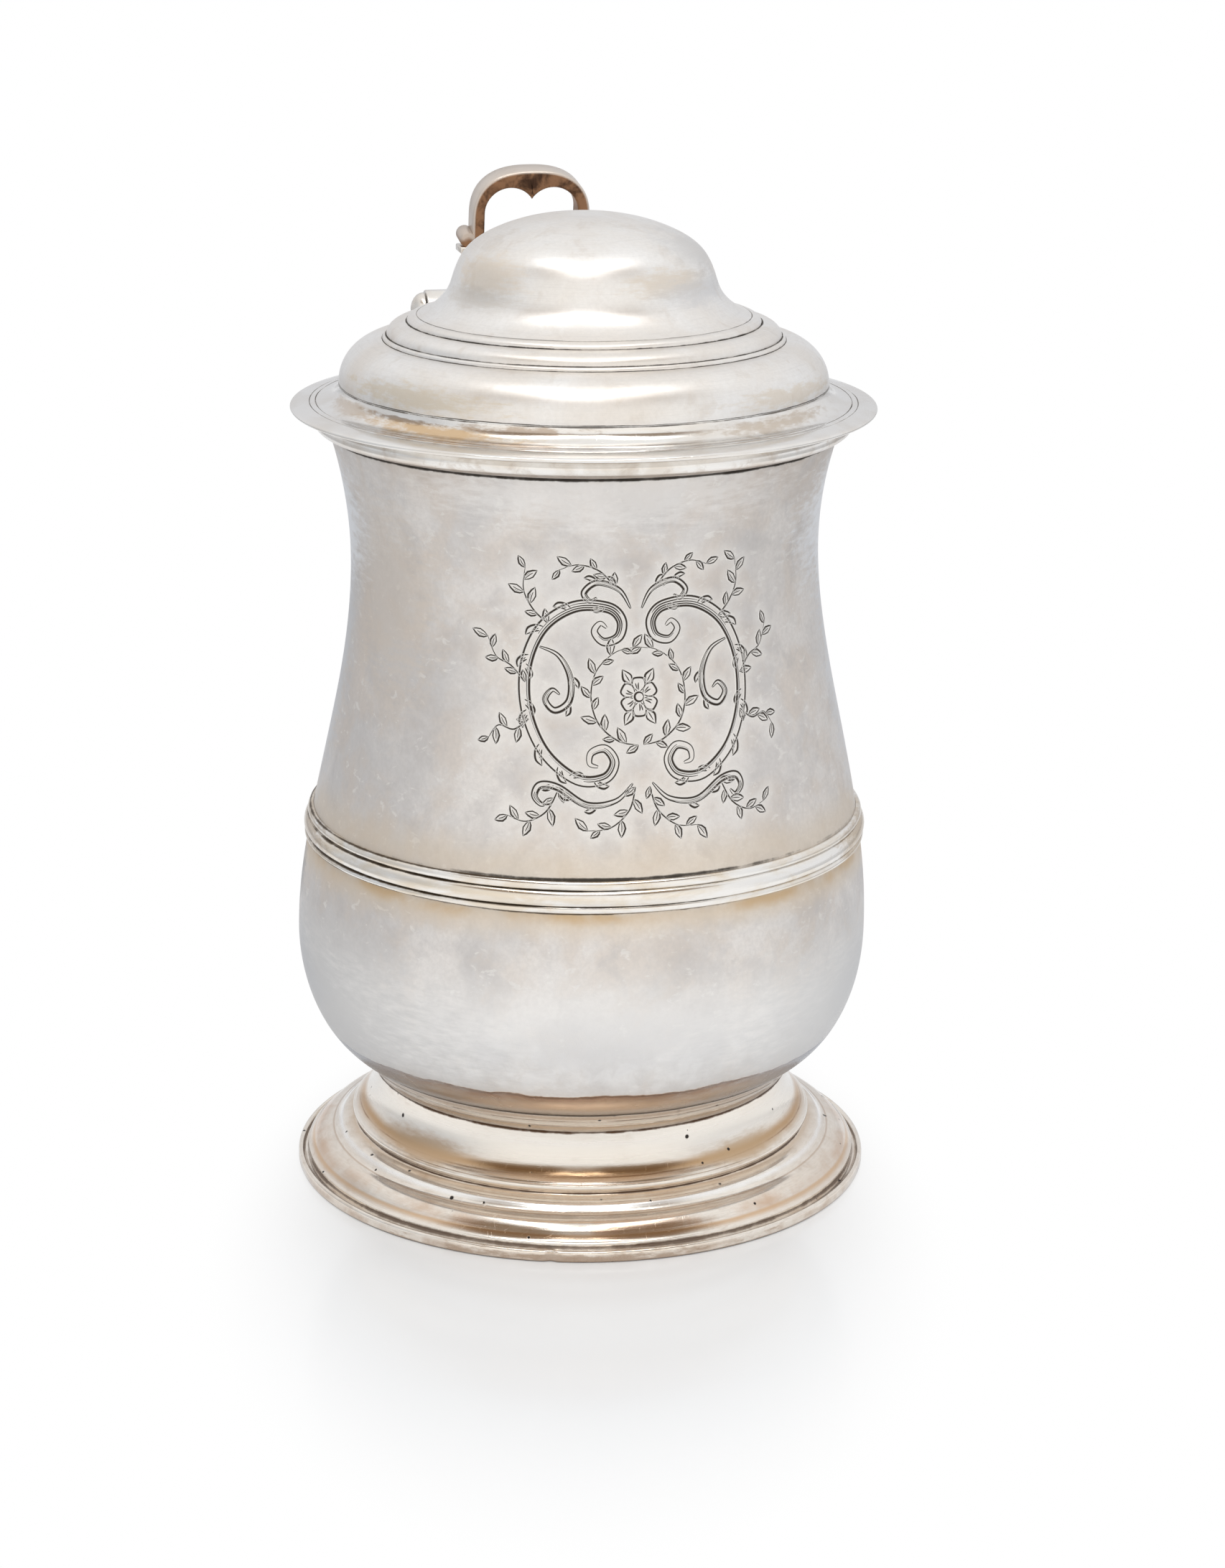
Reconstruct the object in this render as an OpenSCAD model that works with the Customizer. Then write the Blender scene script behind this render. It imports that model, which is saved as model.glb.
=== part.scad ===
// Baluster tankard in silver: a raised body on a stepped foot, a scroll handle
// and a domed lid with a pierced thumbpiece, which turns on a five-knuckle hinge.
// Millimetres. The origin is the middle of the foot's resting face, +Z is up
// and the handle points along +Y.

/* [Sheet and fits] */
// Thickness of the raised sheet
sheet = 0.9; // [0.7:0.1:1.3]
// Gap of a soldered seam between two fixed pieces
seam = 0.05; // [0.02:0.01:0.1]
// Gap between the closed lid's flange and the rim under it
lid_gap = 0.3; // [0.2:0.05:0.6]
// Radial play of the lid's bezel in the mouth
bezel_play = 1.1; // [0.9:0.1:1.5]
// Radial running clearance of the hinge pin in the lid's knuckles
pin_play = 0.05; // [0.02:0.01:0.1]
// Side gap between neighbouring hinge knuckles
knuckle_gap = 0.25; // [0.15:0.05:0.5]
// Gap between the hinge barrel and the pieces that turn past it
barrel_gap = 0.5; // [0.4:0.1:0.8]

/* [Foot] */
// Outside radius of the foot rim
foot_r = 60; // [58:0.5:64]
// Height of the foot rim
rim_h = 2.4; // [1.8:0.1:3.2]
// Width of the foot rim's resting face
rim_w = 3.6; // [3:0.1:4.5]
// Width of the ledge that the rim leaves outside the quarter round
rim_ledge = 2.2; // [1.5:0.1:2.8]
// Radius of the foot's quarter round
foot_round = 7.2; // [5:0.1:8]
// How far the bead stands inside the quarter round's top
bead_set = 2.2; // [1.5:0.1:3]
// Height of that bead
bead_h = 3; // [2:0.1:4]
// How far that bead stands out
bead_out = 1.5; // [0.8:0.1:2]
// Width of the hollow between the bead and the narrow top
cavetto_w = 3.4; // [2.4:0.1:5]
// Height of the foot at its narrow top
collar_z = 21; // [18:0.5:23]
// Width of the seat on top of the foot
collar_w = 3; // [2.5:0.1:4]

/* [Body] */
// Radius where the body sits on the foot collar
seat_r = 48; // [46:0.2:49]
// Height where the body sits on the foot collar
seat_z = 26.4; // [25:0.2:28]
// Largest radius of the belly
belly_r = 59.1; // [56:0.5:62]
// Height of the belly's largest radius
belly_z = 52; // [47:1:57]
// Depth below the seat at which the belly's oval would close
belly_under = 1.5; // [1.3:0.1:3]
// How far the waist under the rim is drawn in from the belly
waist_in = 11.6; // [9:0.1:13]
// Height of that waist
waist_z = 132; // [125:1:138]
// How far the body flares from the waist to the rim moulding
lip_flare = 3.8; // [3:0.1:5]
// Height where the rim moulding starts
lip_z = 156.3; // [154:0.2:157]
// Height of the mouth
mouth_z = 160.4; // [159:0.2:163]
// How far the rim moulding stands out
lip_out = 3; // [2:0.1:3.6]

/* [Girdle] */
// Height of the girdle's lower edge
girdle_z = 72.1; // [66:0.5:84]
// Heights of the girdle's reeds from below
reed_h = [1.3, 3.1, 1.8]; // [1:0.1:4]
// How far each reed stands out
reed_out = [0.5, 1, 0.7]; // [0.3:0.1:1.5]
// Least thickness of the girdle between its reeds
girdle_t = 0.25; // [0.15:0.05:0.5]

/* [Lid] */
// How far the flange reaches past the rim moulding
flange_over = 4.7; // [3.5:0.1:5.5]
// Thickness of the flange at its edge
flange_t = 0.8; // [0.6:0.1:1.2]
// Rise of the flange's top from its edge to its hollow
flange_rise = 0.7; // [0.4:0.1:1]
// Width of the hollow between the flange and the lid's foot
hollow_w = 4.7; // [3.5:0.1:5.2]
// Height of the lid's foot above the flange's underside
root_h = 5.1; // [4:0.1:6]
// How far the lid's foot stands inside the mouth
root_in = 1.2; // [0.9:0.1:1.6]
// Width of the lid's lower quarter round
ovolo_w = 8.8; // [7:0.1:10]
// Height of the lid's lower quarter round
ovolo_h = 8.7; // [7:0.1:10]
// Width of the small bead on the quarter round
lid_bead_w = 0.8; // [0.5:0.1:1.2]
// Height of the small bead on the quarter round
lid_bead_h = 0.8; // [0.5:0.1:1.2]
// Width of the rounded step
step_w = 4.1; // [3:0.1:5]
// Height of the rounded step
step_h = 2.6; // [2:0.1:3.5]
// Width of the small upper step
small_step_w = 2; // [1.2:0.1:3]
// Height of the small upper step
small_step_h = 1.3; // [0.8:0.1:2]
// Width of the hollow sweep under the dome
sweep_w = 6.6; // [5:0.1:8]
// Height of the hollow sweep under the dome
sweep_h = 7.7; // [6:0.1:9]
// Height of the dome
dome_h = 12.4; // [10:0.2:15]
// Depth of the bezel inside the mouth
bezel_h = 4.5; // [3:0.1:5.5]

/* [Hinge] */
// Height of the hinge axis above the mouth
hinge_rise = 10.1; // [9:0.1:12]
// Gap between the flange's edge and the hinge barrel
hinge_back = 1.8; // [1.5:0.1:3]
// Radius of the hinge barrel
barrel_r = 4.2; // [3.6:0.1:4.8]
// Half the length of the hinge barrel
barrel_half = 21.4; // [19:0.2:24]
// Radius of the hinge pin
pin_r = 1.5; // [1.2:0.1:2]
// Length of the domed cap at each end of the pin
cap_len = 2.8; // [2:0.1:4]
// Half the width of the hinge plate on the lid
plate_half = 17; // [14:0.5:18]
// Thickness of the hinge plate below the axis
plate_low = 5.5; // [4:0.1:6]
// Thickness of the hinge plate above the axis
plate_high = 1.8; // [1.5:0.1:2.2]

/* [Thumbpiece] */
// Width across the thumbpiece's arch
thumb_w = 25.4; // [22:0.2:28]
// Height of the arch above its plinth
thumb_h = 16.2; // [15:0.2:18]
// Depth of the arch from front to back
thumb_t = 6.2; // [5:0.1:7]
// Width of the arch's legs
leg_w = 2.6; // [2:0.1:3.2]
// Radius of the opening's two lobes
lobe_r = 5.5; // [5:0.1:6]
// Thickness of the arch above each lobe
arch_t = 3.6; // [2.6:0.1:4.2]
// Radius of the volute at each leg's foot
volute_r = 2.6; // [2:0.1:3]
// Forward lean of the arch
thumb_lean = 9; // [0:1:10]
// Height of the plinth's top above the hinge axis
plinth_rise = 14.7; // [13:0.1:16]
// Thickness of the plinth's slab
plinth_t = 1.5; // [1:0.1:2.5]
// Half the width of the plinth's block
plinth_half = 11; // [8:0.5:12]

/* [Handle] */
// Half the width of the handle at its top
handle_half = 10; // [8:0.5:12]
// Half the width of the handle at its tail
tail_half = 6; // [5:0.5:8]
// Depth of the handle's back half at its top
back_d = 6.5; // [5.5:0.1:7]
// Depth of the handle's back half at its tail
tail_back_d = 4.4; // [3.5:0.1:5]
// Depth of the handle's grip half at its top
grip_d = 4.6; // [4:0.1:5.5]
// Depth of the handle's grip half at its tail
tail_grip_d = 3.2; // [2.6:0.1:4]
// Depth of the handle's middle line below the mouth
handle_drop = 8.4; // [8:0.1:10]
// Reach of the handle's upper control point
handle_out = 92; // [80:1:100]
// Rise of the handle's upper control point
handle_up = 12; // [8:1:14]
// Height where the handle meets the belly
joint_z = 56; // [52:1:60]
// Thickness of the pad between the handle and the belly
pad_t = 4; // [3:0.1:6]
// Radius of that pad
pad_r = 4.5; // [3.5:0.1:6]
// Height of the control point over the lower joint
handle_low = 44; // [38:1:50]
// Drop of the tail below the lower joint
tail_drop = 23; // [20:1:26]
// Reach of the tail behind the lower joint
tail_out = 13; // [10:1:16]
// Thickness of the terminal on the tail
terminal_t = 1.6; // [1.2:0.1:2.5]

/* [Hidden] */
$fn = 96;

silver = [0.83, 0.82, 0.79];
worn_silver = [0.78, 0.75, 0.70];
brown_silver = [0.58, 0.47, 0.38];

arc_steps = 12;
small_steps = 6;
waist_steps = 20;
flare_steps = 8;

// Body outline
waist_r = belly_r - waist_in;
lip_r = waist_r + lip_flare;
belly_b = belly_z - seat_z + belly_under;
belly_a = (belly_r - seat_r) / (1 - sqrt(1 - pow((belly_z - seat_z) / belly_b, 2)));
belly_c = belly_r - belly_a;
floor_z = seat_z + sheet;
mouth_r = lip_r - sheet;

function smooth(t) = t * t * (3 - 2 * t);
function mix(a, b, t) = a + (b - a) * t;
function oval_r(z, d) = belly_c + (belly_a - d) * sqrt(1 - pow((belly_z - z) / (belly_b - d), 2));
function waist_curve(z) = mix(belly_r, waist_r, smooth((z - belly_z) / (waist_z - belly_z)));
function flare_curve(z) = waist_r + (lip_r - waist_r) * pow((z - waist_z) / (lip_z - waist_z), 2);
function wall_r(z, d) =
    z < belly_z ? oval_r(z, d)
    : z < waist_z ? waist_curve(z) - d
    : z < lip_z ? flare_curve(z) - d
    : lip_r - d;
function steps(a, b, n) = [for (i = [0 : n]) mix(a, b, i / n)];
function wall_path(from, d) = [
    for (z = concat(
        [for (t = steps(asin((belly_z - from) / (belly_b - d)), 0, arc_steps))
            belly_z - (belly_b - d) * sin(t)],
        [for (i = [1 : waist_steps]) mix(belly_z, waist_z, i / waist_steps)],
        [for (i = [1 : flare_steps]) mix(waist_z, lip_z, i / flare_steps)],
        [mouth_z]))
    [wall_r(z, d), z]
];
function reversed(p) = [for (i = [len(p) - 1 : -1 : 0]) p[i]];

// Quarter curves from a start point: round bulges out, hollow curves in
function round_curve(r, z, w, h, n) = [for (t = steps(0, 90, n)) [r + w * sin(t), z - h * (1 - cos(t))]];
function hollow_curve(r, z, w, h, n) = [for (t = steps(0, 90, n)) [r + w * (1 - cos(t)), z - h * sin(t)]];

// Foot outline
foot_c = foot_r - rim_ledge - foot_round;
foot_base = rim_h + seam;
round_top = foot_base + foot_round;
bead_in = foot_c - bead_set - bead_out;
bead_start = 20;
collar_r = bead_in - cavetto_w;
foot_top = collar_z - seam;
cavetto_h = foot_top - round_top - bead_h;
inner_end = acos(sheet / (cavetto_w + sheet));
foot_outer = concat(
    hollow_curve(collar_r, foot_top, cavetto_w, cavetto_h, arc_steps),
    [for (a = steps(bead_start, 180, small_steps))
        [bead_in + bead_out * sin(a), round_top + bead_h * (1 + cos(a)) / 2]],
    round_curve(foot_c, round_top, foot_round, foot_round, arc_steps));
foot_inner = concat(
    reversed(round_curve(foot_c, round_top - sheet, foot_round - sheet, foot_round - sheet, arc_steps)),
    [[bead_in - sheet, round_top - sheet]],
    [for (t = steps(inner_end, 0, arc_steps))
        [bead_in - (cavetto_w + sheet) * cos(t), foot_top - (cavetto_h + sheet) * sin(t)]]);

// Girdle outline
reed_z = [girdle_z, girdle_z + reed_h[0], girdle_z + reed_h[0] + reed_h[1]];
girdle_top = reed_z[2] + reed_h[2];
function reed(i) = [
    for (a = steps(0, 180, small_steps))
    let (z = reed_z[i] + reed_h[i] * (1 - cos(a)) / 2)
    [wall_r(z, 0) + seam + girdle_t + reed_out[i] * sin(a), z]
];

// Lid outline
under_z = mouth_z + lid_gap;
flange_r = lip_r + lip_out + flange_over;
root_r = mouth_r - root_in;
root_z = under_z + root_h;
flange_top = under_z + flange_t + flange_rise;
dome_base = root_z + seam;
ovolo_c = root_r - ovolo_w;
bead_c = ovolo_c - lid_bead_w;
step_c = bead_c - step_w;
small_c = step_c - small_step_w;
dome_r = small_c - sweep_w;
ovolo_top = dome_base + ovolo_h;
bead_top = ovolo_top + lid_bead_h;
step_top = bead_top + step_h;
small_top = step_top + small_step_h;
dome_z = small_top + sweep_h;
dome_outer = concat(
    round_curve(0, dome_z + dome_h, dome_r, dome_h, arc_steps),
    hollow_curve(dome_r, dome_z, sweep_w, sweep_h, arc_steps),
    round_curve(small_c, small_top, small_step_w, small_step_h, small_steps),
    round_curve(step_c, step_top, step_w, step_h, small_steps),
    round_curve(bead_c, bead_top, lid_bead_w, lid_bead_h, small_steps),
    round_curve(ovolo_c, ovolo_top, ovolo_w, ovolo_h, arc_steps));
dome_inner = concat(
    reversed(round_curve(ovolo_c, ovolo_top - sheet, ovolo_w - sheet, ovolo_h - sheet, arc_steps)),
    [for (t = steps(90, 0, arc_steps))
        [small_c - (sweep_w + sheet) * cos(t), dome_z - (sweep_h + sheet) * sin(t)]],
    reversed(round_curve(0, dome_z + dome_h - sheet, dome_r - sheet, dome_h - sheet, arc_steps)));
flange_outer = concat(
    [[root_r, root_z]],
    hollow_curve(root_r, root_z - seam, hollow_w, root_z - seam - flange_top, arc_steps),
    [for (a = steps(90, -90, small_steps))
        [flange_r - flange_t / 2 * (1 - cos(a)), under_z + flange_t / 2 * (1 + sin(a))]]);

// Hinge places
hinge_y = flange_r + hinge_back + barrel_r;
hinge_z = mouth_z + hinge_rise;
plate_y = hinge_y - barrel_r - barrel_gap;
plate_top = hinge_z + plate_high;
bracket_top = hinge_z - barrel_r - barrel_gap;
knuckles = 5;
knuckle_l = (2 * barrel_half - (knuckles - 1) * knuckle_gap) / knuckles;
knuckle_step = knuckle_l + knuckle_gap;

// Thumbpiece places
plinth_z = hinge_z + plinth_rise;
thumb_back = 1;
thumb_y = plate_y - thumb_t / 2 + thumb_back;
lobe_x = thumb_w / 2 - leg_w - lobe_r;
lobe_z = thumb_h - arch_t - lobe_r;
arch_power = 2.5;
shoulder_drop = 1.5;
leg_h = lobe_z - shoulder_drop;
block_front = 5;

// Handle line, from the socket over the grip to the tail
bracket_front = hinge_y - barrel_r;
socket_gap = 1;
handle_y = bracket_front - socket_gap;
handle_z = mouth_z - handle_drop;
joint_share = 0.72;
joint_grip_d = mix(grip_d, tail_grip_d, joint_share);
joint_y = wall_r(joint_z, 0) + pad_t + joint_grip_d;
joint_lean = 16;
tail_pull = 1 / 6;
grip_line = [
    [handle_y, handle_z],
    [handle_y + handle_out, handle_z + handle_up],
    [joint_y + joint_lean, joint_z + handle_low],
    [joint_y, joint_z]
];
tail_line = [
    [joint_y, joint_z],
    [joint_y - joint_lean * tail_pull, joint_z - handle_low * tail_pull],
    [joint_y, joint_z - tail_drop],
    [joint_y + tail_out, joint_z - tail_drop]
];
// Heart of the terminal, as shares of its lobes
heart_share = 0.62;
heart_round = 1.15;
heart_wide = 2.02;
heart_long = 2.6;

grip_rings = 28;
tail_rings = 11;
last_ring = grip_rings + tail_rings;
section_steps = 10;

function bezier(p, t) =
    pow(1 - t, 3) * p[0] + 3 * pow(1 - t, 2) * t * p[1] + 3 * (1 - t) * t * t * p[2] + pow(t, 3) * p[3];
function heading(p, t) =
    pow(1 - t, 2) * (p[1] - p[0]) + 2 * (1 - t) * t * (p[2] - p[1]) + t * t * (p[3] - p[2]);
function on_grip(i) = i <= grip_rings;
function line_of(i) = on_grip(i) ? grip_line : tail_line;
function time_of(i) = on_grip(i) ? i / grip_rings : (i - grip_rings) / tail_rings;
function share_of(i) = on_grip(i) ? joint_share * i / grip_rings : mix(joint_share, 1, time_of(i));
function ring_mid(i) = bezier(line_of(i), time_of(i));
function ring_dir(i) = let (v = heading(line_of(i), time_of(i))) v / norm(v);
function ring_point(i, x, n) =
    let (p = ring_mid(i), d = ring_dir(i)) [x, p[0] - n * d[1], p[1] + n * d[0]];
function half_w(i) = mix(handle_half, tail_half, share_of(i));
function back_depth(i) = mix(back_d, tail_back_d, share_of(i));
function grip_depth(i) = mix(grip_d, tail_grip_d, share_of(i));

// One open half of the hollow handle: side 1 is the back, side -1 the grip
function half_ring(i, side) =
    let (w = half_w(i), d = side > 0 ? back_depth(i) : grip_depth(i))
    concat(
        [for (a = steps(0, 180, section_steps)) ring_point(i, w * cos(a), side * (seam / 2 + d * sin(a)))],
        [for (a = steps(180, 0, section_steps))
            ring_point(i, (w - sheet) * cos(a), side * (seam / 2 + (d - sheet) * sin(a)))]);
// The whole handle's outside, grown by a margin, for fitting the bracket to it
function whole_ring(i, grow) =
    let (w = half_w(i) + grow)
    [for (k = [0 : 2 * section_steps - 1])
        let (a = 180 * k / section_steps, d = a < 180 ? back_depth(i) + grow : grip_depth(i) + grow)
        ring_point(i, w * cos(a), d * sin(a))];

function tube_faces(rings, m, flip) = [
    for (i = [0 : rings - 2], k = [0 : m - 1], half = [0, 1])
    let (a = i * m + k, b = i * m + (k + 1) % m, f = half == 0 ? [a, b, b + m] : [a, b + m, a + m])
    flip ? reversed(f) : f
];
function cap_faces(start, m, flip) = [
    for (k = [0 : m / 2 - 2], half = [0, 1])
    let (a = start + k, b = start + m - 1 - k, f = half == 0 ? [a, b, b - 1] : [a, b - 1, a + 1])
    flip ? reversed(f) : f
];
module tube(loops, flip) {
    m = len(loops[0]);
    n = len(loops);
    polyhedron(
        [for (loop = loops) each loop],
        concat(tube_faces(n, m, flip), cap_faces(0, m, flip), cap_faces((n - 1) * m, m, !flip)));
}

// Shared solids
module body_outside(grow) {
    rotate_extrude()
        polygon(concat([[0, seat_z]], [for (p = wall_path(seat_z, 0)) [p[0] + grow, p[1]]], [[0, mouth_z]]));
}
module lid_outside(grow) {
    shape = concat(dome_outer, flange_outer);
    rotate_extrude()
        polygon(concat([[0, under_z]], [for (p = shape) p[0] > 0 ? [p[0] + grow, p[1] + grow] : [0, p[1] + grow]],
            [[flange_r - flange_t, under_z]]));
}
module along_x(half) {
    rotate([90, 0, 90]) translate([0, 0, -half]) linear_extrude(2 * half) children();
}
// The space past a plane square to a heading in the YZ plane, from a seam before it
module beyond(point, heading, size) {
    translate([0, point[0], point[1]]) rotate([atan2(heading[1], heading[0]), 0, 0])
        translate([-size, -seam, -size]) cube(2 * size);
}
module knuckle(x, bore) {
    translate([x - knuckle_l / 2, 0, 0]) rotate([90, 0, 90]) linear_extrude(knuckle_l)
        difference() {
            union() {
                translate([hinge_y, hinge_z]) circle(barrel_r);
                children();
            }
            translate([hinge_y, hinge_z]) circle(bore);
        }
}

module body_shell() {
    color(silver) rotate_extrude()
        polygon(concat([[0, seat_z]], wall_path(seat_z, 0), reversed(wall_path(floor_z, sheet)), [[0, floor_z]]));
}

module lip_moulding() {
    mid_z = (lip_z + mouth_z) / 2;
    half_h = (mouth_z - lip_z) / 2;
    color(silver) rotate_extrude()
        polygon([for (a = steps(-90, 90, 2 * small_steps))
            [lip_r + seam + lip_out * cos(a), mid_z + half_h * sin(a)]]);
}

module girdle() {
    inside = [for (z = steps(girdle_top, girdle_z, arc_steps)) [wall_r(z, 0) + seam, z]];
    color(silver) rotate_extrude() polygon(concat(reed(0), reed(1), reed(2), inside));
}

module foot_collar() {
    top = seat_z - seam;
    color(worn_silver) rotate_extrude()
        polygon([[collar_r - collar_w, collar_z], [collar_r, collar_z], [seat_r, top], [seat_r - collar_w, top]]);
}

module foot() {
    color(worn_silver) rotate_extrude() polygon(concat(foot_outer, foot_inner));
}

module foot_rim() {
    edge = rim_h / 4;
    color(worn_silver) rotate_extrude()
        polygon([[foot_r - rim_w, 0], [foot_r, 0], [foot_r, rim_h - edge], [foot_r - edge, rim_h],
            [foot_r - rim_w, rim_h]]);
}

module handle_back() {
    color(silver) tube([for (i = [0 : last_ring]) half_ring(i, 1)], false);
}

module handle_grip() {
    color(silver) tube([for (i = [0 : last_ring]) half_ring(i, -1)], true);
}

module handle_socket() {
    outline = [for (k = [0 : 4 * section_steps - 1])
        let (a = 90 * k / section_steps)
        [handle_half * cos(a), (a < 180 ? back_d : grip_d) * sin(a)]];
    lip_edge = lip_r + lip_out + 2 * seam;
    color(silver) difference() {
        translate([0, handle_y + back_d, handle_z]) rotate([90, 0, 0])
            linear_extrude(handle_y + back_d - waist_r / 2) polygon(outline);
        body_outside(seam);
        beyond(ring_mid(0), ring_dir(0), 2 * handle_half);
        translate([0, 0, lip_z - seam]) cylinder(r = lip_edge, h = mouth_z - lip_z + back_d);
    }
}

module handle_pad() {
    widest = max([for (z = steps(joint_z - pad_r, joint_z + pad_r, small_steps)) wall_r(z, 0)]);
    face = ring_point(grip_rings, 0, -joint_grip_d);
    along = ring_dir(grip_rings);
    color(silver) difference() {
        translate([0, joint_y, joint_z]) rotate([90, 0, 0]) cylinder(r = pad_r, h = joint_y - waist_r);
        translate([0, 0, joint_z - 2 * pad_r]) cylinder(r = widest + seam, h = 4 * pad_r);
        beyond([face[1], face[2]], [-along[1], along[0]], 4 * pad_r);
    }
}

module handle_terminal() {
    end_p = ring_mid(last_ring);
    end_d = ring_dir(last_ring);
    lobe = tail_half * heart_share;
    color(silver) translate([0, end_p[0], end_p[1]]) rotate([atan2(end_d[1], end_d[0]), 0, 0])
        translate([0, seam, 0]) rotate([-90, 0, 0]) linear_extrude(terminal_t) union() {
            for (s = [-1, 1]) translate([s * lobe, -lobe / 2]) circle(lobe * heart_round);
            polygon([[-lobe * heart_wide, 0], [lobe * heart_wide, 0], [0, lobe * heart_long]]);
        }
}

module hinge_bracket() {
    front = bracket_front;
    back = hinge_y + barrel_r;
    bar = bracket_top - (handle_z + back_d);
    difference() {
        color(silver) union() {
            along_x(barrel_half) polygon([[front, bracket_top], [back, bracket_top],
                [back, bracket_top - bar / 2], [front, bracket_top - bar / 2]]);
            along_x(handle_half) polygon([[front, bracket_top - bar / 4], [back, bracket_top - bar / 4],
                [back + bar, handle_z + back_d / 2], [front, handle_z + back_d / 2]]);
        }
        tube([for (i = [0 : grip_rings / 2]) whole_ring(i, seam)], false);
    }
}

module handle_knuckles() {
    lug_low = bracket_top + seam;
    lug_front = hinge_y - barrel_r / 2;
    lug_back = hinge_y + barrel_r;
    color(silver) for (i = [-2, 0, 2])
        knuckle(i * knuckle_step, pin_r + seam)
            translate([lug_front, lug_low]) square([lug_back - lug_front, hinge_z - lug_low]);
}

module hinge_pin() {
    half = barrel_half + knuckle_gap;
    color(worn_silver) translate([-half, hinge_y, hinge_z]) rotate([0, 90, 0]) cylinder(r = pin_r, h = 2 * half);
}

module pin_caps() {
    start = barrel_half + knuckle_gap + seam;
    cap_r = barrel_r - barrel_gap;
    color(silver) for (s = [0, 180]) translate([0, hinge_y, hinge_z]) rotate([0, 90, s]) translate([0, 0, start])
        rotate_extrude() polygon(concat([[0, 0]], reversed(round_curve(0, cap_len, cap_r, cap_len, small_steps))));
}

module lid_dome() {
    color(silver) rotate_extrude() polygon(concat(dome_outer, dome_inner));
}

module lid_flange() {
    color(silver) rotate_extrude()
        polygon(concat(flange_outer, [[root_r - sheet, under_z], [root_r - sheet, root_z]]));
}

module lid_bezel() {
    outer = mouth_r - bezel_play;
    top = under_z - seam;
    color(silver) rotate_extrude()
        polygon([[outer - sheet, top - bezel_h], [outer, top - bezel_h], [outer, top], [outer - sheet, top]]);
}

module lid_hinge_plate() {
    color(silver) difference() {
        translate([-plate_half, ovolo_c, hinge_z - plate_low])
            cube([2 * plate_half, plate_y - ovolo_c, plate_low + plate_high]);
        lid_outside(seam);
    }
}

module lid_knuckles() {
    tongue = plate_high - barrel_gap / 2;
    front = plate_y + seam;
    color(silver) for (i = [-1, 1])
        knuckle(i * knuckle_step, pin_r + pin_play)
            translate([front, hinge_z - tongue]) square([hinge_y - front, 2 * tongue]);
}

module thumbpiece_base() {
    low = plate_top + seam;
    back_y = thumb_y + thumb_t / 2;
    front_y = thumb_y - thumb_t / 2;
    slab = plinth_z - plinth_t;
    color(worn_silver) union() {
        along_x(plinth_half) polygon([[front_y - block_front, low], [plate_y, low],
            [back_y, low + barrel_r], [back_y, plinth_z], [front_y, plinth_z], [front_y, slab - block_front]]);
        along_x(thumb_w / 2 + volute_r) polygon([[front_y, slab], [back_y, slab],
            [back_y, plinth_z], [front_y, plinth_z]]);
    }
}

module thumb_outline() {
    half = thumb_w / 2;
    arch_h = thumb_h - leg_h;
    arch = [for (x = steps(-1, 1, 2 * arc_steps))
        let (s = sin(90 * x)) [half * s, leg_h + arch_h * pow(1 - pow(abs(s), arch_power), 1 / arch_power)]];
    difference() {
        polygon(concat([[half, -volute_r], [-half, -volute_r]], arch));
        for (s = [-1, 1]) translate([s * lobe_x, lobe_z]) circle(lobe_r);
        translate([leg_w - half, -2 * volute_r]) square([thumb_w - 2 * leg_w, lobe_z + 2 * volute_r]);
    }
}

module thumbpiece() {
    deep = 3 * thumb_t;
    volute_x = thumb_w / 2 + volute_r / 3;
    color(brown_silver) difference() {
        translate([0, thumb_y, plinth_z]) rotate([thumb_lean, 0, 0]) translate([0, thumb_t / 2, 0])
            rotate([90, 0, 0]) {
                linear_extrude(thumb_t) thumb_outline();
                for (s = [-1, 1]) translate([s * volute_x, volute_r, 0]) cylinder(r = volute_r, h = thumb_t);
            }
        translate([-thumb_w, thumb_y - deep, plinth_z + seam - deep]) cube([2 * thumb_w, 2 * deep, deep]);
    }
}

body_shell();
lip_moulding();
girdle();
foot_collar();
foot();
foot_rim();
handle_back();
handle_grip();
handle_socket();
handle_pad();
handle_terminal();
hinge_bracket();
handle_knuckles();
hinge_pin();
pin_caps();
lid_dome();
lid_flange();
lid_bezel();
lid_hinge_plate();
lid_knuckles();
thumbpiece_base();
thumbpiece();
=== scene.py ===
from math import acos, atan2, copysign, cos, exp, pi, radians, sin, sqrt

import bmesh
import bpy
from mathutils import Matrix, Vector, kdtree, noise


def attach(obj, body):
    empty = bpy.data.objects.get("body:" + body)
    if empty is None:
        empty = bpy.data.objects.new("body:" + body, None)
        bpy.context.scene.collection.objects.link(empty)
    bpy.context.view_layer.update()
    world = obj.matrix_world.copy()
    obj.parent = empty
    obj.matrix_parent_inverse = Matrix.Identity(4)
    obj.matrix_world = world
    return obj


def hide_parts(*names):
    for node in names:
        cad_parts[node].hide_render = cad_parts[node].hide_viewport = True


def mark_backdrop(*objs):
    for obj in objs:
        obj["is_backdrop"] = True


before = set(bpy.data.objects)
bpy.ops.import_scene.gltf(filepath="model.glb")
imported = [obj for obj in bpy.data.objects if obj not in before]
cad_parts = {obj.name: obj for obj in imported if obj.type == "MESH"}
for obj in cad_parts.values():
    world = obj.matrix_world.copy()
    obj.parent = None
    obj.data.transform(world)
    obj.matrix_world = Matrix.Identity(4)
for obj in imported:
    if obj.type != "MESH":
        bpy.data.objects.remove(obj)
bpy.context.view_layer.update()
scene = bpy.context.scene
scene.view_settings.view_transform = "Standard"
mm = 0.001
print("frame loaded:", len(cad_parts), "nodes")

# Node building: a wire is a node's output, and wires can stand in sums

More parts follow.
